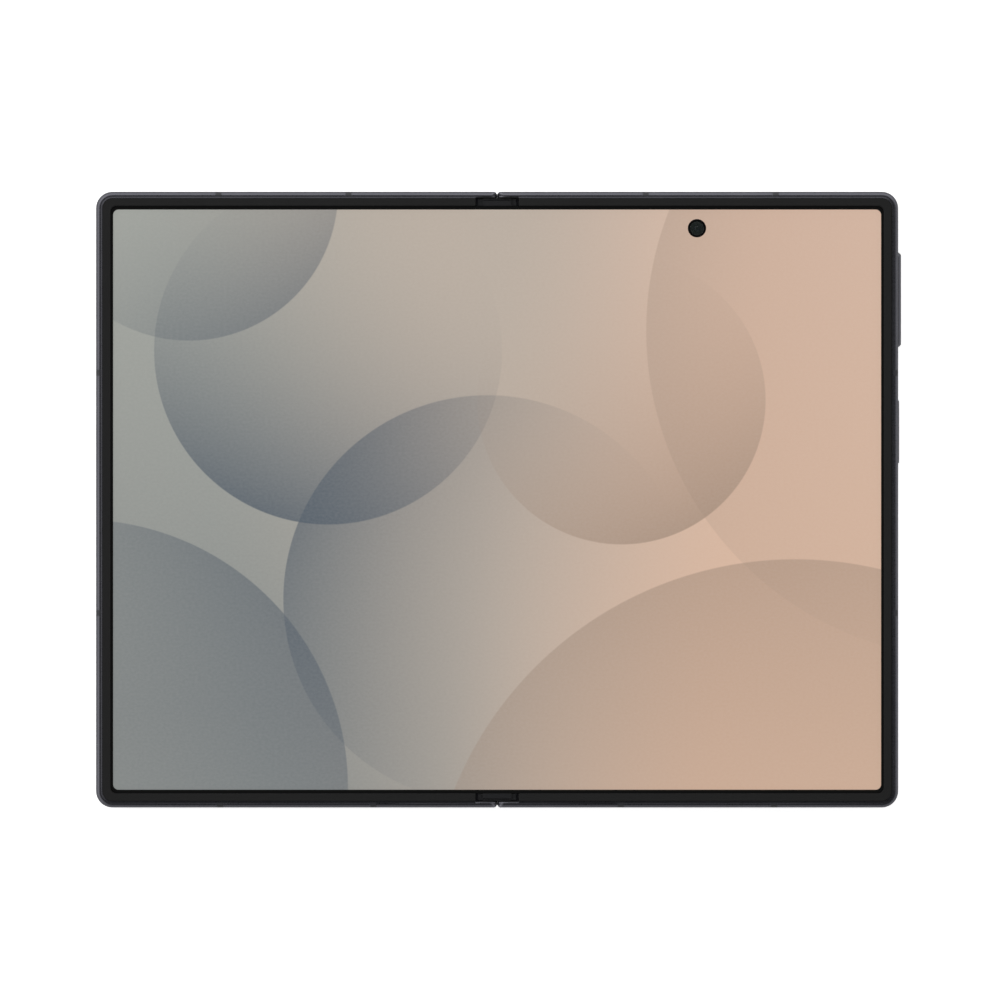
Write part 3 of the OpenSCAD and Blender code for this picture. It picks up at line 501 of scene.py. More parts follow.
def copper_wire(name):
    """Enamelled copper: warm metal with varying enamel."""
    wire = Finish(name, shade(184, 110, 70), 0.3, 1.0, coat=0.4, coat_roughness=0.15)
    here = wire.place()
    wire.tint(wire.noise(here, 0.0015, 3), shade(150, 84, 50), shade(200, 126, 84))
    wire.gloss(wire.noise(here, 0.0003, 2), 0.3, 0.7, 0.24, 0.38)
    return wire.material


def flex_film(name):
    """Polyimide cable: amber film over parallel copper lines."""
    film = Finish(name, shade(120, 66, 22), 0.32, specular=0.5, coat=0.3, coat_roughness=0.15)
    here = film.place()
    lines = film.remap(film.stripes(here, 0.0004, "Y"), 0.35, 0.65)
    film.tint(lines, shade(96, 50, 18), shade(160, 96, 44))
    film.gloss(film.noise(here, 0.003, 3), 0.3, 0.7, 0.24, 0.42)
    film.relief(lines, 0.00002, 0.6)
    return film.material


def gold_contact(name):
    """Gold-plated contact with the rub marks of plugs."""
    gold = Finish(name, shade(206, 166, 92), 0.25, 1.0)
    rubs = gold.noise(gold.place((30, 1, 1)), 0.003, 4, 0.7)
    gold.tint(rubs, shade(186, 146, 78), shade(222, 186, 118))
    gold.gloss(rubs, 0.3, 0.7, 0.16, 0.36)
    return gold.material


def woven_gauze(name):
    """Steel gauze of the sound holes: two crossing sets of wires, with painted light where they cross and
    painted shade in the gaps between them.
    """
    gauze = Finish(name, shade(44, 44, 46), 0.4, 0.7)
    here = gauze.place()
    weave_and_painted_shading = gauze.times(gauze.stripes(here, 0.00009, "X"), gauze.stripes(here, 0.00009, "Z"))
    # painted light and shade: pale where the wires cross, dark in the gaps
    gauze.tint(weave_and_painted_shading, shade(16, 16, 17), shade(92, 92, 94))
    gauze.relief(weave_and_painted_shading, 0.00003, 0.8)
    return gauze.material


def flash_diffuser(name):
    """Flash window: pale yellow phosphor under rings of a flat lens."""
    lamp = Finish(name, shade(226, 214, 160), 0.18, specular=0.5, coat=0.8, coat_roughness=0.05)
    near = lamp.place(centre=FLASH)
    x, y, _ = lamp.parts(near)
    rim = lamp.remap(lamp.distance(x, y), 0.0009, 0.0012, 0, 1, True)
    lamp.tint(rim, shade(232, 206, 110), shade(216, 214, 206))
    lamp.relief(lamp.rings(near, 0.0002, "SAW"), 0.00004, 0.7)
    return lamp.material


def smart_card_face(name):
    """Card of the tray: pale plastic with a block of gold pads."""
    plain_face = shade(206, 206, 208)
    card = Finish(name, plain_face, 0.45)
    x, y, _ = card.parts(card.place(centre=SIM_CARD))
    inside_x = card.remap(card.size(x), 0.0042, 0.0043, 1, 0)
    inside_y = card.remap(card.size(y), 0.0034, 0.0035, 1, 0)
    gaps = card.remap(card.cells(card.place(), 0.0026, "DISTANCE_TO_EDGE", scatter=0.0), 0.03, 0.05)
    pads = card.times(card.times(inside_x, inside_y), gaps)
    card.tint(pads, plain_face, shade(204, 170, 104))
    card.drive(Metallic=pads)
    card.relief(card.noise(card.place(), 0.0002, 2), 0.00001, 0.3)
    return card.material


# the discs of the picture: centre, radius, the way they darken, warm or slate, depth and fading
DISCS = (
    ((96, 34), 66, (-1, 0.25), "clay", 0.34, 2.4),
    ((60, -86), 74, (-0.3, 1), "clay", 0.55, 2.2),
    ((-84, -58), 54, (0.9, 0.7), "slate", 0.62, 2.6),
    ((-34, 30), 35, (-0.4, -1), "slate", 0.85, 2.3),
    ((-2, -20), 41, (-1, 0.5), "slate", 0.70, 2.6),
    ((25, 20), 29, (0.5, -1), "clay", 0.75, 2.0),
    ((-62, 62), 30, (0.7, -0.8), "slate", 0.55, 2.4),
)
DISC_EDGE = 0.12


def picture_finish(name, look):
    """Lit display: a warm and grey ground with large clear discs laid over each other, black ink outside."""
    screen = Finish(name, look.middle, 0.22, specular=0.25)
    where = screen.node("UVMap", {"uv_map": "Picture"}).outputs[0]
    spot = zip(screen.parts(where), PICTURE_REACH)
    x, y = (screen.remap(part, 0, 1, -reach, reach) for part, reach in spot)
    up = screen.remap(y, -42, 58.5)
    left = screen.mix(up, look.left_low, look.left_high)
    right = screen.mix(up, look.right_low, look.right_high)
    warm = screen.remap(screen.plus(x, screen.times(y, 0.25)), -62, 8, 0, 1, True)
    warmer = screen.remap(screen.minus(x, screen.times(y, 0.1)), -8, 52, 0, 1, True)
    ground = screen.mix(warmer, screen.mix(warm, left, look.middle), right)

    for centre, radius, towards, sheet, depth, fade in DISCS:
        dx, dy = screen.minus(x, centre[0]), screen.minus(y, centre[1])
        inside = screen.remap(screen.distance(dx, dy), radius - DISC_EDGE, radius + DISC_EDGE, 1, 0)
        whole = math.hypot(*towards)
        lean = screen.plus(screen.times(dx, towards[0] / whole), screen.times(dy, towards[1] / whole))
        fading = screen.maths("POWER", screen.remap(lean, -radius, radius), fade)
        cover = screen.times(screen.times(fading, inside), depth)
        ground = screen.mix(cover, ground, getattr(look, sheet))

    grain = screen.remap(screen.noise(where, 0.004, 2), 0.3, 0.7, 0, 0.03)
    ground = screen.mix(grain, ground, (0.9, 0.87, 0.83))
    # lit area: a rectangle with small round corners, and the camera's hole in it
    radius, edge = 1.1, 0.03
    halves = (look.half_width / MM, look.half_height / MM)
    over = (screen.maths("MAXIMUM", screen.minus(screen.size(at), half - radius), 0)
            for at, half in zip((x, y), halves))
    ink = screen.remap(screen.distance(*over), radius - edge, radius + edge)
    hole = screen.distance(screen.minus(x, INNER_CAMERA[0]), screen.minus(y, INNER_CAMERA[1]))
    ink = screen.maths("MAXIMUM", ink, screen.remap(hole, 1.83, 1.86, 1, 0))
    picture = screen.mix(ink, ground, (0.004, 0.004, 0.004))
    screen.drive(Base_Color=screen.mix(1.0, picture, (0.8, 0.8, 0.8), "MULTIPLY"))
    screen.drive(Emission_Color=picture, Emission_Strength=look.glow)
    return screen.material


# ---------------------------------------------------------------- shaping


def add_object(name, mesh):
    thing = bpy.data.objects.new(name, mesh)
    bpy.context.scene.collection.objects.link(thing)
    return thing


def add_shape(name, shape):
    """Makes an object of a bmesh, which is freed."""
    mesh = bpy.data.meshes.new(name)
    shape.to_mesh(mesh)
    shape.free()
    return add_object(name, mesh)


def plain(thing):
    """Bakes the modifiers into a plain mesh and removes them."""
    depsgraph = bpy.context.evaluated_depsgraph_get()
    shown = thing.evaluated_get(depsgraph)
    mesh = bpy.data.meshes.new_from_object(shown, preserve_all_data_layers=True, depsgraph=depsgraph)
    thing.modifiers.clear()
    old, thing.data = thing.data, mesh
    mesh.name = thing.name
    if old.users == 0:
        bpy.data.meshes.remove(old)
    return thing


def soften(thing, rounding=0.0, steps=3, angle=32):
    """Rounds the sharp edges by rounding metres and keeps the flat faces flat in the shading."""
    mesh = thing.data
    mesh.shade_smooth()
    if rounding:
        bevel = thing.modifiers.new("Rounding", "BEVEL")
        bevel.width, bevel.segments, bevel.limit_method = rounding, steps, "ANGLE"
        bevel.angle_limit, bevel.use_clamp_overlap = math.radians(angle), True
    else:
        mesh.set_sharp_from_angle(angle=math.radians(angle))
    normals = thing.modifiers.new("Normals", "WEIGHTED_NORMAL")
    normals.weight, normals.keep_sharp = 80, True
    return plain(thing)


def merged(node):
    """Merged copy of a CAD node's mesh, as a bmesh."""
    shape = bmesh.new()
    shape.from_mesh(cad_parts[node].data)
    bmesh.ops.remove_doubles(shape, verts=shape.verts, dist=WELD)
    return shape


def join_flat(shape, degrees=0.4):
    """Joins the faces that are flat to so many degrees."""
    bmesh.ops.dissolve_limit(
        shape, angle_limit=math.radians(degrees), verts=shape.verts, edges=shape.edges)


def copy_of(node, name, rounding=0.0, steps=3, change=None, flat=0.4):
    """Softened copy of a CAD node, changed where asked."""
    shape = merged(node)
    if change:
        change(shape)
    join_flat(shape, flat)
    return soften(add_shape(name, shape), rounding, steps)


def on_circle(centre, radius, turn, z):
    return ((centre[0] + radius * math.cos(turn)) * MM, (centre[1] + radius * math.sin(turn)) * MM, z * MM)


def turned(name, centre, profile, steps=72):
    """Body of revolution from (radius, height) points in millimetres, closed at radius 0."""
    shape = bmesh.new()
    turns = [2 * math.pi * i / steps for i in range(steps)]
    rings = [[shape.verts.new(on_circle(centre, radius, turn, height)) for turn in (turns if radius else [0])]
             for radius, height in profile]
    for one, two in zip(rings, rings[1:]):
        for i in range(steps):
            j = (i + 1) % steps
            loop = [one[i % len(one)], one[j % len(one)], two[j % len(two)], two[i % len(two)]]
            corners = list(dict.fromkeys(loop))
            if len(corners) > 2:
                shape.faces.new(corners)
    bmesh.ops.recalc_face_normals(shape, faces=shape.faces)
    return soften(add_shape(name, shape), angle=30)


def dome_profile(radius, low, high, steps=8):
    """Outline of a lens cap: flat at low, bulging to high, in millimetres."""
    rise = high - low
    ball = abs((radius * radius + rise * rise) / (2 * rise))
    top = math.asin(min(1.0, radius / ball))
    points = [(0, low), (radius, low)]
    for i in range(1, steps):
        angle = top * (1 - i / steps)
        points.append((ball * math.sin(angle), high - math.copysign(ball - ball * math.cos(angle), rise)))
    return [*points, (0, high)]


def box_between(shape, low, high):
    """Adds a closed box between two corners, in millimetres."""
    places = [(x, y, z) for x in (low[0], high[0]) for y in (low[1], high[1]) for z in (low[2], high[2])]
    corners = [shape.verts.new(Vector(place) * MM) for place in places]
    for face in ((0, 1, 3, 2), (4, 6, 7, 5), (0, 4, 5, 1), (2, 3, 7, 6), (0, 2, 6, 4), (1, 5, 7, 3)):
        shape.faces.new([corners[i] for i in face])


def pill_plate(name, side, middle, length, height, rounding, across="X", steps=12):
    """Thin round-ended plate that stands across X or Y between the two places in side, in millimetres."""
    shape = bmesh.new()
    radius = height / 2
    outline = []
    for end, start in ((1, 0), (-1, math.pi)):
        for i in range(steps + 1):
            turn = start - math.pi / 2 + math.pi * i / steps
            reach = end * (length / 2 - radius) + radius * math.cos(turn)
            outline.append((middle[0] + reach, middle[1] + radius * math.sin(turn)))
    rings = [[shape.verts.new(Vector((at, along, z) if across == "X" else (along, at, z)) * MM)
              for along, z in outline] for at in side]
    for i in range(len(outline)):
        j = (i + 1) % len(outline)
        shape.faces.new([rings[0][i], rings[0][j], rings[1][j], rings[1][i]])
    for ring in rings:
        shape.faces.new(ring)
    bmesh.ops.recalc_face_normals(shape, faces=shape.faces)
    return soften(add_shape(name, shape), rounding * MM, 2)


def picture_map(thing):
    """UV map of the display picture, by the place across the opened phone."""
    mesh = thing.data
    layer = mesh.uv_layers.new(name="Picture")
    wide, high = PICTURE_REACH
    for loop in mesh.loops:
        spot = mesh.vertices[loop.vertex_index].co
        layer.data[loop.index].uv = ((spot.x / MM + wide) / (2 * wide), (spot.y / MM + high) / (2 * high))


def finish_piece(thing, material, body, slot, *nodes):
    """Gives a piece its material, hides the CAD nodes it stands for and, where one is named, hangs it on its
    body; the slot is not used.
    """
    thing.data.materials.clear()
    thing.data.materials.append(material)
    for face in thing.data.polygons:
        face.material_index = 0
    if nodes:
        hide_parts(*nodes)
    if body:
        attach(thing, body)
    return thing


def bend(piece, x0, x1, one, two, level):
    """Bakes the piece's place into its mesh; the two bodies and the ends x0 and x1 are not used."""
    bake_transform(piece)


def bent_pair(node, name, material, slot, step=0.4):
    """Copies a CAD node that crosses the fold as two finely cut parts, one on each side of the fold."""

    def cut(shape, x, **more):
        everything = [*shape.verts, *shape.edges, *shape.faces]
        bmesh.ops.bisect_plane(shape, geom=everything, plane_co=(x * MM, 0, 0), **more)

    for word, *ends in BENDS:
        side = -1 if word == "left" else 1
        shape = merged(node)
        join_flat(shape)
        cut(shape, 0, plane_no=(-side, 0, 0), clear_outer=True)
        bmesh.ops.holes_fill(shape, edges=[edge for edge in shape.edges if edge.is_boundary])
        for i in range(1, int(FOLD_STRIP / step) + 1):
            cut(shape, side * i * step, plane_no=(1, 0, 0))
        piece = finish_piece(soften(add_shape(f"{name}_{word}", shape)), material, None, slot, node)
        bend(piece, *ends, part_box(node)[1].z)


def remake(node, name, material, body, slot, rounding=0.0, steps=3, **more):
    """Puts a softened copy with its own finish in the place of a CAD node."""
    finish_piece(copy_of(node, name, rounding, steps, **more), material, body, slot, node)


def dress(material, *nodes):
    """New material on CAD nodes that stay as they are."""
    for node in nodes:
        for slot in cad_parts[node].material_slots:
            slot.material = material


class Recipe(Nodes):
    """A tree of Geometry Nodes with named inputs, run on new objects and kept as plain meshes."""

    prefix = "GeometryNode"

    def __init__(self, name, **inputs):
        super().__init__(bpy.data.node_groups.new(name, "GeometryNodeTree"))
        self.tree.is_modifier = True
        sockets = self.tree.interface
        sockets.new_socket("Geometry", in_out="INPUT", socket_type="NodeSocketGeometry")
        for label, value in inputs.items():
            kind = "NodeSocketInt" if isinstance(value, int) else "NodeSocketFloat"
            sockets.new_socket(label, in_out="INPUT", socket_type=kind).default_value = value
        sockets.new_socket("Geometry", in_out="OUTPUT", socket_type="NodeSocketGeometry")
        self.given = self.tree.nodes.new("NodeGroupInput").outputs
        self.leave = self.tree.nodes.new("NodeGroupOutput").inputs

    def combine(self, *parts):
        node = self.tree.nodes.new("ShaderNodeCombineXYZ")
        for socket, part in zip(node.inputs, parts):
            self.feed(socket, part)
        return node.outputs[0]

    def close(self, geometry, material):
        """Ends the tree in Realize Instances and Set Material."""
        real = self.node("RealizeInstances", Geometry=geometry)
        paint = self.node("SetMaterial", Geometry=real.outputs[0], Material=material)
        self.feed(self.leave[0], paint.outputs[0])

    def run(self, name, seeds=(), **values):
        """Runs the tree on a new object with these points and keeps the plain result."""
        mesh = bpy.data.meshes.new("seed")
        mesh.from_pydata(seeds, [], [])
        thing = add_object(name, mesh)
        modifier = thing.modifiers.new(self.tree.name, "NODES")
        modifier.node_group = self.tree
        for item in self.tree.interface.items_tree:
            if item.in_out == "INPUT" and item.name in values:
                modifier[item.identifier] = values[item.name]
        return plain(thing)


# ---------------------------------------------------------------- operators


class PHONE_OT_frames(Operator):
    """Metal frames of both halves and the plastic bands in them"""

    bl_idname = "phone.frames"
    bl_label = "Frames and bands"

    def execute(self, context):
        look = context.scene.phone_metal
        # the frames carry the painted highlight beside the fold
        metal = blasted_metal("graphite metal", look.rail_colour, look.grain, 0.28, painted_fold_highlight=True)
        band = moulded_plastic("band plastic", context.scene.phone_plastic.band_colour, 0.42, 0.0002, 0.4)
        for half in ("main", "cover"):
            body = f"{half}_half"
            remake(f"{half}_frame", f"{half}_metal_frame", metal, body, "frame_metal",
                   change=self.slope_strip, flat=0.1)
            remake(f"{half}_antenna_bands", f"{half}_plastic_bands", band, body, "band_plastic")
        return {"FINISHED"}

    @staticmethod
    def slope_strip(shape, drop=0.045, near=0.03):
        """Leans the narrow strip inside the groove and shades it apart from the faces beside it."""
        leaning = set()
        for corner in shape.verts:
            dx, dy = (abs(at) / MM - (half - CORNER) for at, half in zip(corner.co, HALF_SIZE))
            out = math.hypot(dx, dy) if min(dx, dy) > 0 else max(dx, dy)
            if abs(corner.co.z - cad_box[1].z) < SAME and abs(out - (CORNER - STRIP_IN)) < near:
                corner.co.z -= drop * MM
                leaning.update(face for face in corner.link_faces if face.normal.z > 0.9)
        border = [edge for edge in shape.edges
                  if leaning.intersection(edge.link_faces) and not leaning.issuperset(edge.link_faces)]
        bmesh.ops.split_edges(shape, edges=border)


class PHONE_OT_rims(Operator):
    """Soft rims round the display, the caps that close the spine and the seals in the fold's notches"""

    bl_idname = "phone.rims"
    bl_label = "Rims and end caps"

    def execute(self, context):
        look = context.scene.phone_plastic
        rim = moulded_plastic("rim plastic", look.rim_colour, 0.6, 0.00014, 0.22)
        cap = moulded_plastic("cap plastic", look.cap_colour, 0.5, 0.00018, 0.25)
        for half in ("main", "cover"):
            remake(f"{half}_display_rim", f"{half}_soft_rim", rim, f"{half}_half", "rim_plastic",
                   look.rim_rounding, 4)
        remake("spine_end_caps", "fold_end_caps", cap, "spine", "cap_plastic", 0.0001)

        # lips close the slit between the frames, and dark strips and metal edges lie on their low ledges
        lip = moulded_plastic("lip rubber", shade(84, 84, 90), 0.6, 0.0001, 0.3)
        strip = moulded_plastic("ledge rubber", shade(24, 24, 26), 0.6, 0.0001, 0.25)
        metal = bpy.data.materials["graphite metal"]
        for word, paint, slot, x, y, z, chamfer, drop in (
            ("fold_lips", lip, "cap_plastic", (0.004, 0.1), (60.7, 61.48), (1.4, 4.78), 0, 0),
            ("ledge_strips", strip, "cap_plastic", (0.43, 4.25), (60.69, 60.875), (5.69, 5.95), 0.35, 0),
            ("ledge_edges", metal, "frame_metal", (0.43, 4.33), (60.87, 61.07), (5.69, 6.09), 0.8, 0.035),
        ):
            for half, side in (("main", 1), ("cover", -1)):
                across = sorted((side * x[0], side * x[1]))
                piece = self.bars(f"{half}_{word}", across, y, z, chamfer, drop)
                finish_piece(piece, paint, f"{half}_half", slot)
        seals = self.bars("spine_end_seals", (-2.8, 2.8), (60.45, 60.665), (3.2, 5.4))
        finish_piece(seals, strip, "spine", "cap_plastic")
        return {"FINISHED"}

    @staticmethod
    def bars(name, x, y, z, chamfer=0, drop=0):
        """A bar at either end of the phone. The top slopes beside the fold, and it may drop inwards."""
        shape = bmesh.new()
        for end in (-1, 1):
            low, high = sorted((end * y[0], end * y[1]))
            box_between(shape, (x[0], low, z[0]), (x[1], high, z[1]))
        for corner in shape.verts:
            if corner.co.z > (z[0] + z[1]) / 2 * MM:
                # the slope lets the halves pass each other when the phone folds
                if abs(corner.co.x) < 0.5 * MM:
                    corner.co.x += math.copysign(chamfer * MM, corner.co.x)
                if abs(corner.co.y) < (y[0] + y[1]) / 2 * MM:
                    corner.co.z -= drop * MM
        return soften(add_shape(name, shape), 0.015 * MM, 2)


class PHONE_OT_display(Operator):
    """Inner display: two flat parts and the strip across the fold"""

    bl_idname = "phone.display"
    bl_label = "Inner display"

    def execute(self, context):
        screen = picture_finish("display picture", context.scene.phone_picture)

        def reach(shape, gap=0.22):
            """Draws the panel's edge, which lies within the gap, up to the strip."""
            for corner in shape.verts:
                if abs(corner.co.x) < (FOLD_STRIP + gap) * MM:
                    corner.co.x = math.copysign(FOLD_STRIP * MM, corner.co.x)

        for word, body in (("main", "main_half"), ("left", "cover_half")):
            piece = copy_of(f"{word}_display_panel", f"{word}_screen", change=reach)
            picture_map(piece)
            finish_piece(piece, screen, body, "display_panel", f"{word}_display_panel")
        low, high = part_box("fold_panel")
        for word, *ends in BENDS:
            piece = self.strip(f"fold_screen_{word}", ends[0] * MM, ends[1] * MM, low, high)
            picture_map(piece)
            finish_piece(piece, screen, None, "fold_display", "fold_panel")
            bend(piece, *ends, high.z)
        return {"FINISHED"}

    @staticmethod
    def strip(name, x0, x1, low, high, steps=28, rows=6):
        """Thin closed sheet, finely divided across the fold."""
        shape = bmesh.new()
        grid = {}
        for level, z in enumerate((low.z, high.z)):
            for i in range(steps + 1):
                x = x0 + (x1 - x0) * i / steps
                for j in range(rows + 1):
                    grid[level, i, j] = shape.verts.new((x, low.y + (high.y - low.y) * j / rows, z))

        def face(*corners):
            shape.faces.new([grid[corner] for corner in corners])

        for i in range(steps):
            for j in range(rows):
                for level in (0, 1):
                    face((level, i, j), (level, i + 1, j), (level, i + 1, j + 1), (level, i, j + 1))
        for i in range(steps):
            for j in (0, rows):
                face((0, i, j), (0, i + 1, j), (1, i + 1, j), (1, i, j))
        for j in range(rows):
            for i in (0, steps):
                face((0, i, j), (0, i, j + 1), (1, i, j + 1), (1, i, j))
        bmesh.ops.recalc_face_normals(shape, faces=shape.faces)
        return soften(add_shape(name, shape), angle=40)


class PHONE_OT_inner_camera(Operator):
    """Camera in the hole of the display: cell, front lens and window"""

    bl_idname = "phone.inner_camera"
    bl_label = "Inner camera"

    def execute(self, context):
        dress(ridged_black("inner cell", INNER_CAMERA, (0.003, 0.005, 0.004), 0.00012), "inner_camera")
        ring = turned("inner_camera_ring", INNER_CAMERA, [
            (1.38, 5.69), (1.38, 5.67), (1.42, 5.655), (1.8, 5.655), (1.815, 5.67), (1.815, 5.69),
            (1.79, 5.7), (1.41, 5.7), (1.38, 5.69)])
        black = tinted_window("inner ring ink", (0.001, 0.001, 0.001), 1.0)
        finish_piece(ring, black, "main_half", "camera_black")
        lens = turned("inner_lens", INNER_CAMERA, dome_profile(0.7, 5.2, 5.42))
        coated = lens_dome("inner lens coating", INNER_CAMERA, 0.7, context.scene.phone_glass.coating)
        finish_piece(lens, coated, "main_half", "camera_black")
        window = turned("inner_camera_window", INNER_CAMERA, [
            (0, 5.652), (1.34, 5.652), (1.37, 5.662), (1.37, 5.682), (1.34, 5.692), (0, 5.692)])
        glass = tinted_window("inner window glass", shade(42, 48, 46), 0.35)
        finish_piece(window, glass, "main_half", "lens_glass")
        return {"FINISHED"}


class PHONE_OT_back(Operator):
    """Satin back glass, and the black glass of the outer screen with its camera"""

    bl_idname = "phone.back"
    bl_label = "Back and cover glass"

    def execute(self, context):
        look = context.scene.phone_glass
        satin = satin_glass("satin glass", look.back_colour)
        remake("main_back_glass", "satin_back_glass", satin, "main_half", "back_glass", look.glass_rounding)

        drill = turned("hole_drill", COVER_CAMERA, [(0, 1.0), (1.75, 1.0), (1.75, 2.2), (0, 2.2)])
        cover = add_shape("outer_screen_glass", merged("cover_glass"))
        cut = cover.modifiers.new("Camera hole", "BOOLEAN")
        cut.operation, cut.object, cut.solver = "DIFFERENCE", drill, "EXACT"
        plain(cover)
        bpy.data.objects.remove(drill)
        soften(cover, look.glass_rounding)
        black = screen_glass("outer screen glass", look.cover_colour)
        finish_piece(cover, black, "cover_half", "cover_glass", "cover_glass")

        window = turned("outer_camera_window", COVER_CAMERA, [
            (0, 1.85), (1.74, 1.85), (1.74, 1.29), (1.71, 1.265), (0, 1.265)])
        finish_piece(window, clear_glass("outer window glass", (0.9, 0.92, 0.95)), "cover_half", "lens_glass")
        dress(ridged_black("outer camera cell", COVER_CAMERA, pitch=0.00014), "cover_camera")
        lens = turned("outer_camera_lens", COVER_CAMERA, dome_profile(0.72, 2.35, 2.02))
        coated = lens_dome("outer lens coating", COVER_CAMERA, 0.72, look.coating)
        finish_piece(lens, coated, "cover_half", "camera_black")
        return {"FINISHED"}


class PHONE_OT_rear_cameras(Operator):
    """Camera island, its three windows, stepped lens cells, front lenses and flash"""

    bl_idname = "phone.rear_cameras"
    bl_label = "Rear cameras"

    def execute(self, context):
        look = context.scene.phone_metal
        coating = context.scene.phone_glass.coating
        metal = blasted_metal("island metal", lighter(look.rail_colour, 0.9), look.grain, 0.3)
        remake("camera_island", "island_body", metal, "main_half", "island_metal", 0.00012)
        glass = clear_glass("lens window glass", (0.96, 0.97, 1.0))
        remake("camera_lens_glasses", "lens_windows", glass, "main_half", "lens_glass", 0.00008, 2)
        for place, (y, barrel, bore) in REAR_LENSES.items():
            centre = (REAR_X, y)
            dress(ridged_black(f"{place} cell black", centre), f"camera_{place}")
            # stepped baffle between the window and the barrel, with a metal ring in it
            baffle = turned(f"{place}_baffle", centre, [
                (WINDOW_RADIUS, 0.87), (WINDOW_RADIUS, 1.03), (barrel - 0.2, 1.03), (barrel - 0.35, 1.0),
                (bore + 0.75, 1.0), (bore + 0.62, 1.02), (bore + 0.55, 1.03), (bore + 0.55, 0.95),
                (barrel - 0.5, 0.9), (barrel - 0.1, 0.9), (barrel + 0.05, 0.87), (WINDOW_RADIUS, 0.87)])
            black = moulded_plastic(f"{place} baffle black", shade(14, 14, 16), 0.5, 0.0001, 0.2)
            finish_piece(baffle, black, "main_half", "camera_black")
            ring = turned(f"{place}_lens_ring", centre, [
                (bore + 0.52, 1.04), (bore + 0.52, 0.93), (bore + 0.42, 0.9), (bore + 0.3, 0.93),
                (bore + 0.18, 1.15), (bore + 0.18, 1.3), (bore + 0.2, 1.3), (bore + 0.3, 1.06),
                (bore + 0.52, 1.04)])
            steel = brushed_steel(f"{place} ring metal", shade(92, 94, 100), 0.22)
            finish_piece(ring, steel, "main_half", "camera_black")
            lens = turned(f"{place}_front_lens", centre, dome_profile(bore - 0.02, 1.82, 1.16, 12))
            coated = lens_dome(f"{place} lens coating", centre, bore, coating)
            finish_piece(lens, coated, "main_half", "camera_black")
        remake("flash_window", "flash_lens", flash_diffuser("flash lens"), "main_half", "flash_lens", 0.0001)
        return {"FINISHED"}


class PHONE_OT_keys(Operator):
    """Volume key and power key with its finger pad"""

    bl_idname = "phone.keys"
    bl_label = "Side keys"

    def execute(self, context):
        look = context.scene.phone_metal
        metal = blasted_metal("key metal", lighter(look.rail_colour, 1.08), look.grain, 0.3)
        for key in ("volume", "power"):
            low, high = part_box(f"{key}_key")

            def crown(shape, outside=high.x - SAME):
                """Rounds the outer edge of the key far in, so that its face is a soft crown."""
                border = [edge for edge in shape.edges
                          if min(v.co.x for v in edge.verts) > outside and edge.calc_face_angle(0) > 0.5]
                bmesh.ops.bevel(
                    shape, geom=border, offset=look.key_rounding, segments=7, profile=0.34, affect="EDGES")

            remake(f"{key}_key", f"{key}_key_cap", metal, f"{key}_key", "key_metal", change=crown)
        middle = ((low.y + high.y) / 2 / MM, KEYS_Z)
        pad = pill_plate("finger_pad", (80.93, 80.952), middle, 11.2, 0.8, 0.008)
        finish_piece(pad, satin_glass("finger pad coat", shade(38, 38, 42)), "power_key", "key_metal")
        return {"FINISHED"}


class PHONE_OT_port_and_tray(Operator):
    """Charging port with its contacts, card tray with its card and the gauze of the sound holes"""

    bl_idname = "phone.port_and_tray"
    bl_label = "Port, tray and gauze"

    def execute(self, context):
        look, fine = context.scene.phone_metal, context.scene.phone_fine
        steel = brushed_steel("port steel", shade(150, 152, 156), 0.26)
        remake("charging_port", "port_shell", steel, "main_half", "port_steel", 0.00006, 2)
        gold = gold_contact("contact gold")
        row = Recipe("Row of contacts", Count=12, Pitch=0.0005, Width=0.00025, Length=0.004, Height=0.00005)
        given = row.given
        line = row.node("MeshLine", Count=given["Count"], Offset=row.combine(given["Pitch"]))
        size = row.combine(given["Width"], given["Length"], given["Height"])
        bar = row.node("MeshCube", Size=size)
        bars = row.node("InstanceOnPoints", Points=line.outputs[0], Instance=bar.outputs[0])
        both = row.node("JoinGeometry")
        # a row on either side of the tongue, centred on the port, with contacts half a millimetre apart
        start = PORT[0] - 0.25 * (fine.contacts - 1)
        middle, off_centre = -57.8, 0.36
        for z in (PORT[1] - off_centre, PORT[1] + off_centre):
            to = (start * MM, middle * MM, z * MM)
            moved = row.node("Transform", Geometry=bars.outputs[0], Translation=to)
            row.feed(both.inputs[0], moved.outputs[0])
        row.close(both.outputs[0], gold)
        finish_piece(row.run("port_contacts", Count=fine.contacts), gold, "main_half", "port_steel")

        tray_metal = blasted_metal("tray metal", look.rail_colour, look.grain)
        remake("card_tray", "card_drawer", tray_metal, "card_tray", "frame_metal", 0.00005, 2)
        dress(smart_card_face("card face"), "sim_card")

        gauze = woven_gauze("sound gauze")
        discs = Recipe("Gauze discs", Radius=0.00046, Thickness=0.00006)
        given = discs.given
        disc = discs.node("MeshCylinder", Vertices=24, Radius=given["Radius"], Depth=given["Thickness"])
        upright = (math.pi / 2, 0, 0)
        place = discs.node(
            "InstanceOnPoints", Points=given["Geometry"], Instance=disc.outputs[0], Rotation=upright)
        discs.close(place.outputs[0], gauze)
        speaker = [(SPEAKER_X + step, -GAUZE_Y) for step in (-4, -2, 0, 2, 4)]
        microphones = [(32.2, -GAUZE_Y), (49.6, -GAUZE_Y), (47.0, GAUZE_Y)]
        for name, holes, share in (("speaker_gauze", speaker, 1.0), ("microphone_gauze", microphones, 0.7)):
            seeds = [(x * MM, y * MM, SOUND_HOLES_Z * MM) for x, y in holes]
            piece = discs.run(name, seeds, Radius=fine.gauze_radius * share)
            finish_piece(piece, gauze, "main_half", "speaker_black")
        ear = pill_plate("ear_gauze", (61.4, 61.46), (-19.975, 3.15), 9.8, 0.82, 0.01, "Y")
        finish_piece(ear, gauze, "cover_half", "speaker_black")
        return {"FINISHED"}


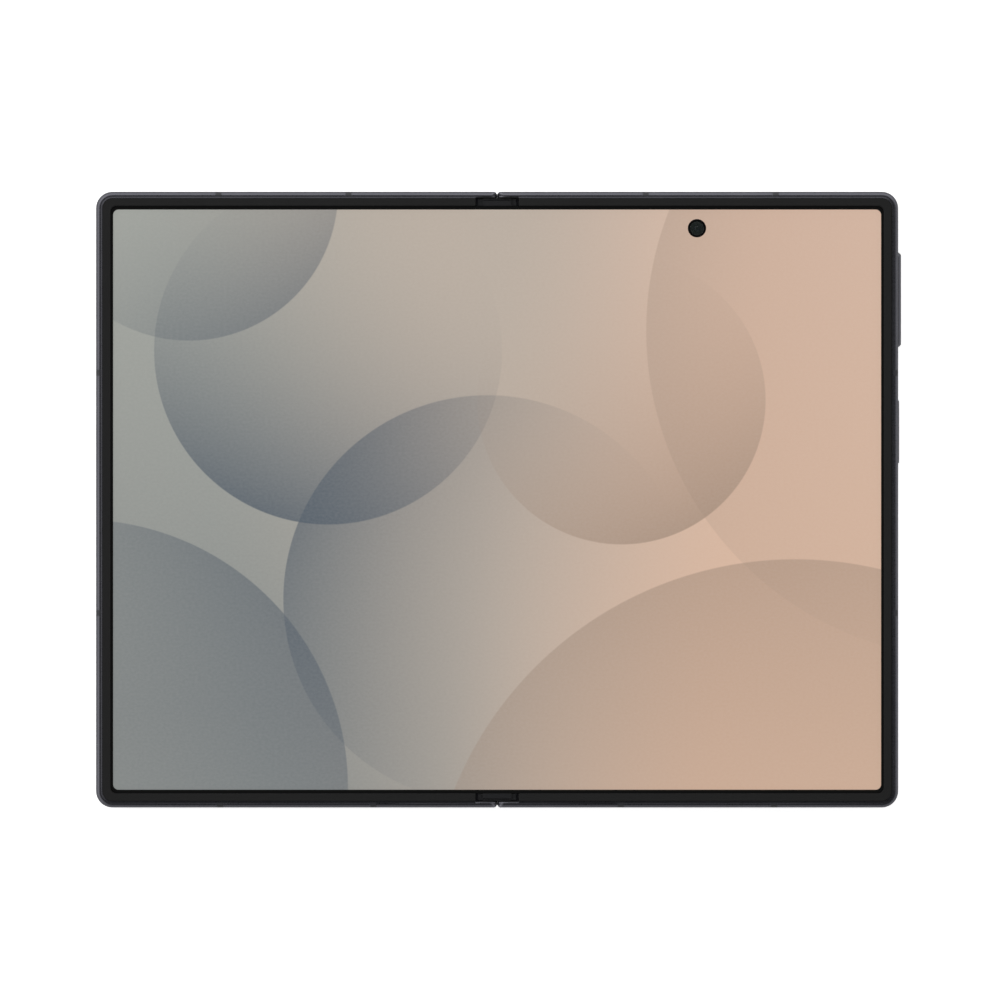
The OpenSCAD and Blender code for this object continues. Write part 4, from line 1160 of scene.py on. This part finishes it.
class PHONE_OT_spine(Operator):
    """Outer shell of the hinge spine and the moving parts in it"""

    bl_idname = "phone.spine"
    bl_label = "Hinge spine"

    def execute(self, context):
        look = context.scene.phone_metal
        metal = blasted_metal("spine metal", look.spine_colour, look.grain, 0.24)
        remake("spine_shell", "polished_spine", metal, "spine", "spine_metal", 0.00006, 2)
        steel = brushed_steel("hinge steel", look.steel_colour, 0.3)
        dress(steel, "hinge_brackets", "main_hinge_arms", "cover_hinge_arms", "spine_plate")
        plate = brushed_steel("plate steel", lighter(look.steel_colour, 0.8), 0.36)
        dress(plate, "main_support_plate", "left_support_plate")
        bent_pair("fold_lattice", "slotted_plate", plate, "steel_plate")
        screws = brushed_steel("screw steel", lighter(look.steel_colour, 0.7), 0.24)
        dress(screws, "main_arm_screws", "cover_arm_screws", "bracket_screws", "board_screws")
        film = flex_film("cable film")
        dress(film, "main_cable")
        bent_pair("hinge_cables", "flat_cables", film, "flex_film")
        return {"FINISHED"}


class PHONE_OT_insides(Operator):
    """Boards, cells, coil, magnets, motors and switches inside both halves"""

    bl_idname = "phone.insides"
    bl_label = "Inner parts"

    def execute(self, context):
        dress(circuit_board("board mask"), "main_board", "cover_board", "port_board")
        dress(tin_can("shield tin"), "processor_shield", "radio_shield", "card_reader")
        dress(foil_pouch("battery foil"), "main_battery", "cover_battery")
        dress(moulded_plastic("speaker plastic", shade(22, 22, 24), 0.5, 0.0002), "loudspeaker", "earpiece")
        dress(brushed_steel("motor steel", shade(150, 150, 152), 0.28), "vibration_motor")
        dress(brushed_steel("magnet nickel", shade(188, 186, 180), 0.2, "X"), "main_magnets", "cover_magnets")
        dress(gold_contact("switch brass"), "volume_switches", "power_switch")
        dress(screen_glass("outer panel film", shade(12, 12, 15)), "cover_screen_panel")
        copper = copper_wire("coil copper")
        wound = Recipe("Wound coil", Turns=13.0, Inner=0.01225, Outer=0.02075, Wire=0.00028)
        given = wound.given
        low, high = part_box("charging_coil")
        spiral = wound.node(
            "CurveSpiral", Resolution=64, Height=0, Rotations=given["Turns"],
            Start_Radius=given["Inner"], End_Radius=given["Outer"])
        wire = wound.node("CurvePrimitiveQuadrilateral", Width=0.0005, Height=given["Wire"])
        sweep = wound.node(
            "CurveToMesh", Curve=spiral.outputs[0], Profile_Curve=wire.outputs[0], Fill_Caps=True)
        move = wound.node("Transform", Geometry=sweep.outputs[0], Translation=(low + high) / 2)
        wound.close(move.outputs[0], copper)
        coil = wound.run("wound_coil", Turns=float(context.scene.phone_fine.coil_turns))
        finish_piece(coil, copper, "main_half", "coil_copper", "charging_coil")
        return {"FINISHED"}


class PHONE_OT_stage(Operator):
    """White floor, pale walls of light, two large softboxes and the camera straight above"""

    bl_idname = "phone.stage"
    bl_label = "Stage"

    def execute(self, context):
        scene, look = context.scene, context.scene.phone_stage
        shape = bmesh.new()
        bmesh.ops.create_grid(shape, x_segments=1, y_segments=1, size=4)
        floor = add_shape("studio_floor", shape)
        # a hair below the phone, so that no two faces share a plane
        floor.location.z = -0.08 * MM
        floor.data.materials.append(self.floor_paint())
        scene.world = self.room(look)

        for name, spot in SOFTBOXES.items():
            lamp = bpy.data.lights.new(name, "AREA")
            lamp.shape, lamp.energy = "RECTANGLE", look.softbox
            lamp.size, lamp.size_y = SOFTBOX_SIZE
            thing = bpy.data.objects.new(name, lamp)
            thing.location = spot
            thing.rotation_euler = (-Vector(spot)).to_track_quat("-Z", "Y").to_euler()
            scene.collection.objects.link(thing)

        camera = bpy.data.cameras.new("camera")
        camera.sensor_width = 36
        camera.lens = camera.sensor_width * look.distance / look.picture_width
        camera.clip_start, camera.clip_end = 0.05, 20
        eye = bpy.data.objects.new("camera", camera)
        eye.location = (*PHOTO_MIDDLE, DISPLAY_FACE + look.distance)
        scene.collection.objects.link(eye)
        scene.camera = eye
        scene.view_settings.view_transform = "Standard"
        return {"FINISHED"}

    @staticmethod
    def room(look):
        """Pale walls, brightest past the top end, and a dark opening overhead, towards the lower right."""
        world = bpy.data.worlds.new("studio room")
        world.use_nodes = True
        room = Nodes(world.node_tree)
        where = room.node("TexCoord").outputs["Generated"]

        def along(direction):
            node = room.node("VectorMath", {"operation": "DOT_PRODUCT"})
            room.feed(node.inputs[0], where)
            room.feed(node.inputs[1], Vector(direction).normalized())
            return node.outputs["Value"]

        dim, bright = 0.64 * look.horizon, 1.18 * look.horizon
        around = room.remap(along((-0.25, 0.97, 0.0)), -1, 1, dim, bright)
        # the opening's soft edge lies between these two cosines
        outer, inner = 0.72, 0.84
        walls = room.remap(along((0.12, -0.22, 1.0)), outer, inner, around, look.overhead, True)
        to_camera = room.node("LightPath").outputs["Is Camera Ray"]
        sky = room.node("Background", Color=(1, 1, 1), Strength=room.remap(to_camera, 0, 1, walls, 1.0))
        room.node("OutputWorld", Surface=sky.outputs[0])
        return world

    @staticmethod
    def floor_paint():
        """Pale floor that takes the phone's shadow and shows white to the camera."""
        paint = Finish("floor white", (0.8, 0.8, 0.8), 0.9, specular=0.0)
        paint.tint(paint.noise(paint.place(), 0.3, 2), (0.79, 0.79, 0.79), (0.81, 0.81, 0.81))
        # it shines white to the camera and through glass, and weakly in reflections
        path = paint.node("LightPath").outputs
        mirrored = paint.times(path["Is Glossy Ray"], 0.12)
        seen = paint.maths("MAXIMUM", mirrored, path["Is Transmission Ray"])
        seen = paint.maths("MAXIMUM", path["Is Camera Ray"], seen)
        paint.drive(Emission_Color=(1, 1, 1), Emission_Strength=paint.times(seen, 0.75))
        return paint.material


STEPS = (
    PHONE_OT_frames, PHONE_OT_rims, PHONE_OT_display, PHONE_OT_inner_camera, PHONE_OT_back,
    PHONE_OT_rear_cameras, PHONE_OT_keys, PHONE_OT_port_and_tray, PHONE_OT_spine, PHONE_OT_insides,
    PHONE_OT_stage,
)


class PHONE_PT_panel(Panel):
    """Lists the steps and their settings"""

    bl_idname = "PHONE_PT_panel"
    bl_label = "Foldable phone"
    bl_space_type = "VIEW_3D"
    bl_region_type = "UI"
    bl_category = "Phone"

    def draw(self, context):
        for step in STEPS:
            self.layout.operator(step.bl_idname)
        for name, group in SETTINGS.items():
            box = self.layout.box()
            for key in group.__annotations__:
                box.prop(getattr(context.scene, name), key)


def register():
    for kind in (*SETTINGS.values(), *STEPS, PHONE_PT_panel):
        bpy.utils.register_class(kind)
    for name, group in SETTINGS.items():
        setattr(bpy.types.Scene, name, PointerProperty(type=group))


def unregister():
    for name in SETTINGS:
        delattr(bpy.types.Scene, name)
    for kind in (PHONE_PT_panel, *reversed(STEPS), *SETTINGS.values()):
        bpy.utils.unregister_class(kind)


def main():
    register()
    for step in STEPS:
        group, name = step.bl_idname.split(".")
        getattr(getattr(bpy.ops, group), name)()


if __name__ == "__main__":
    main()
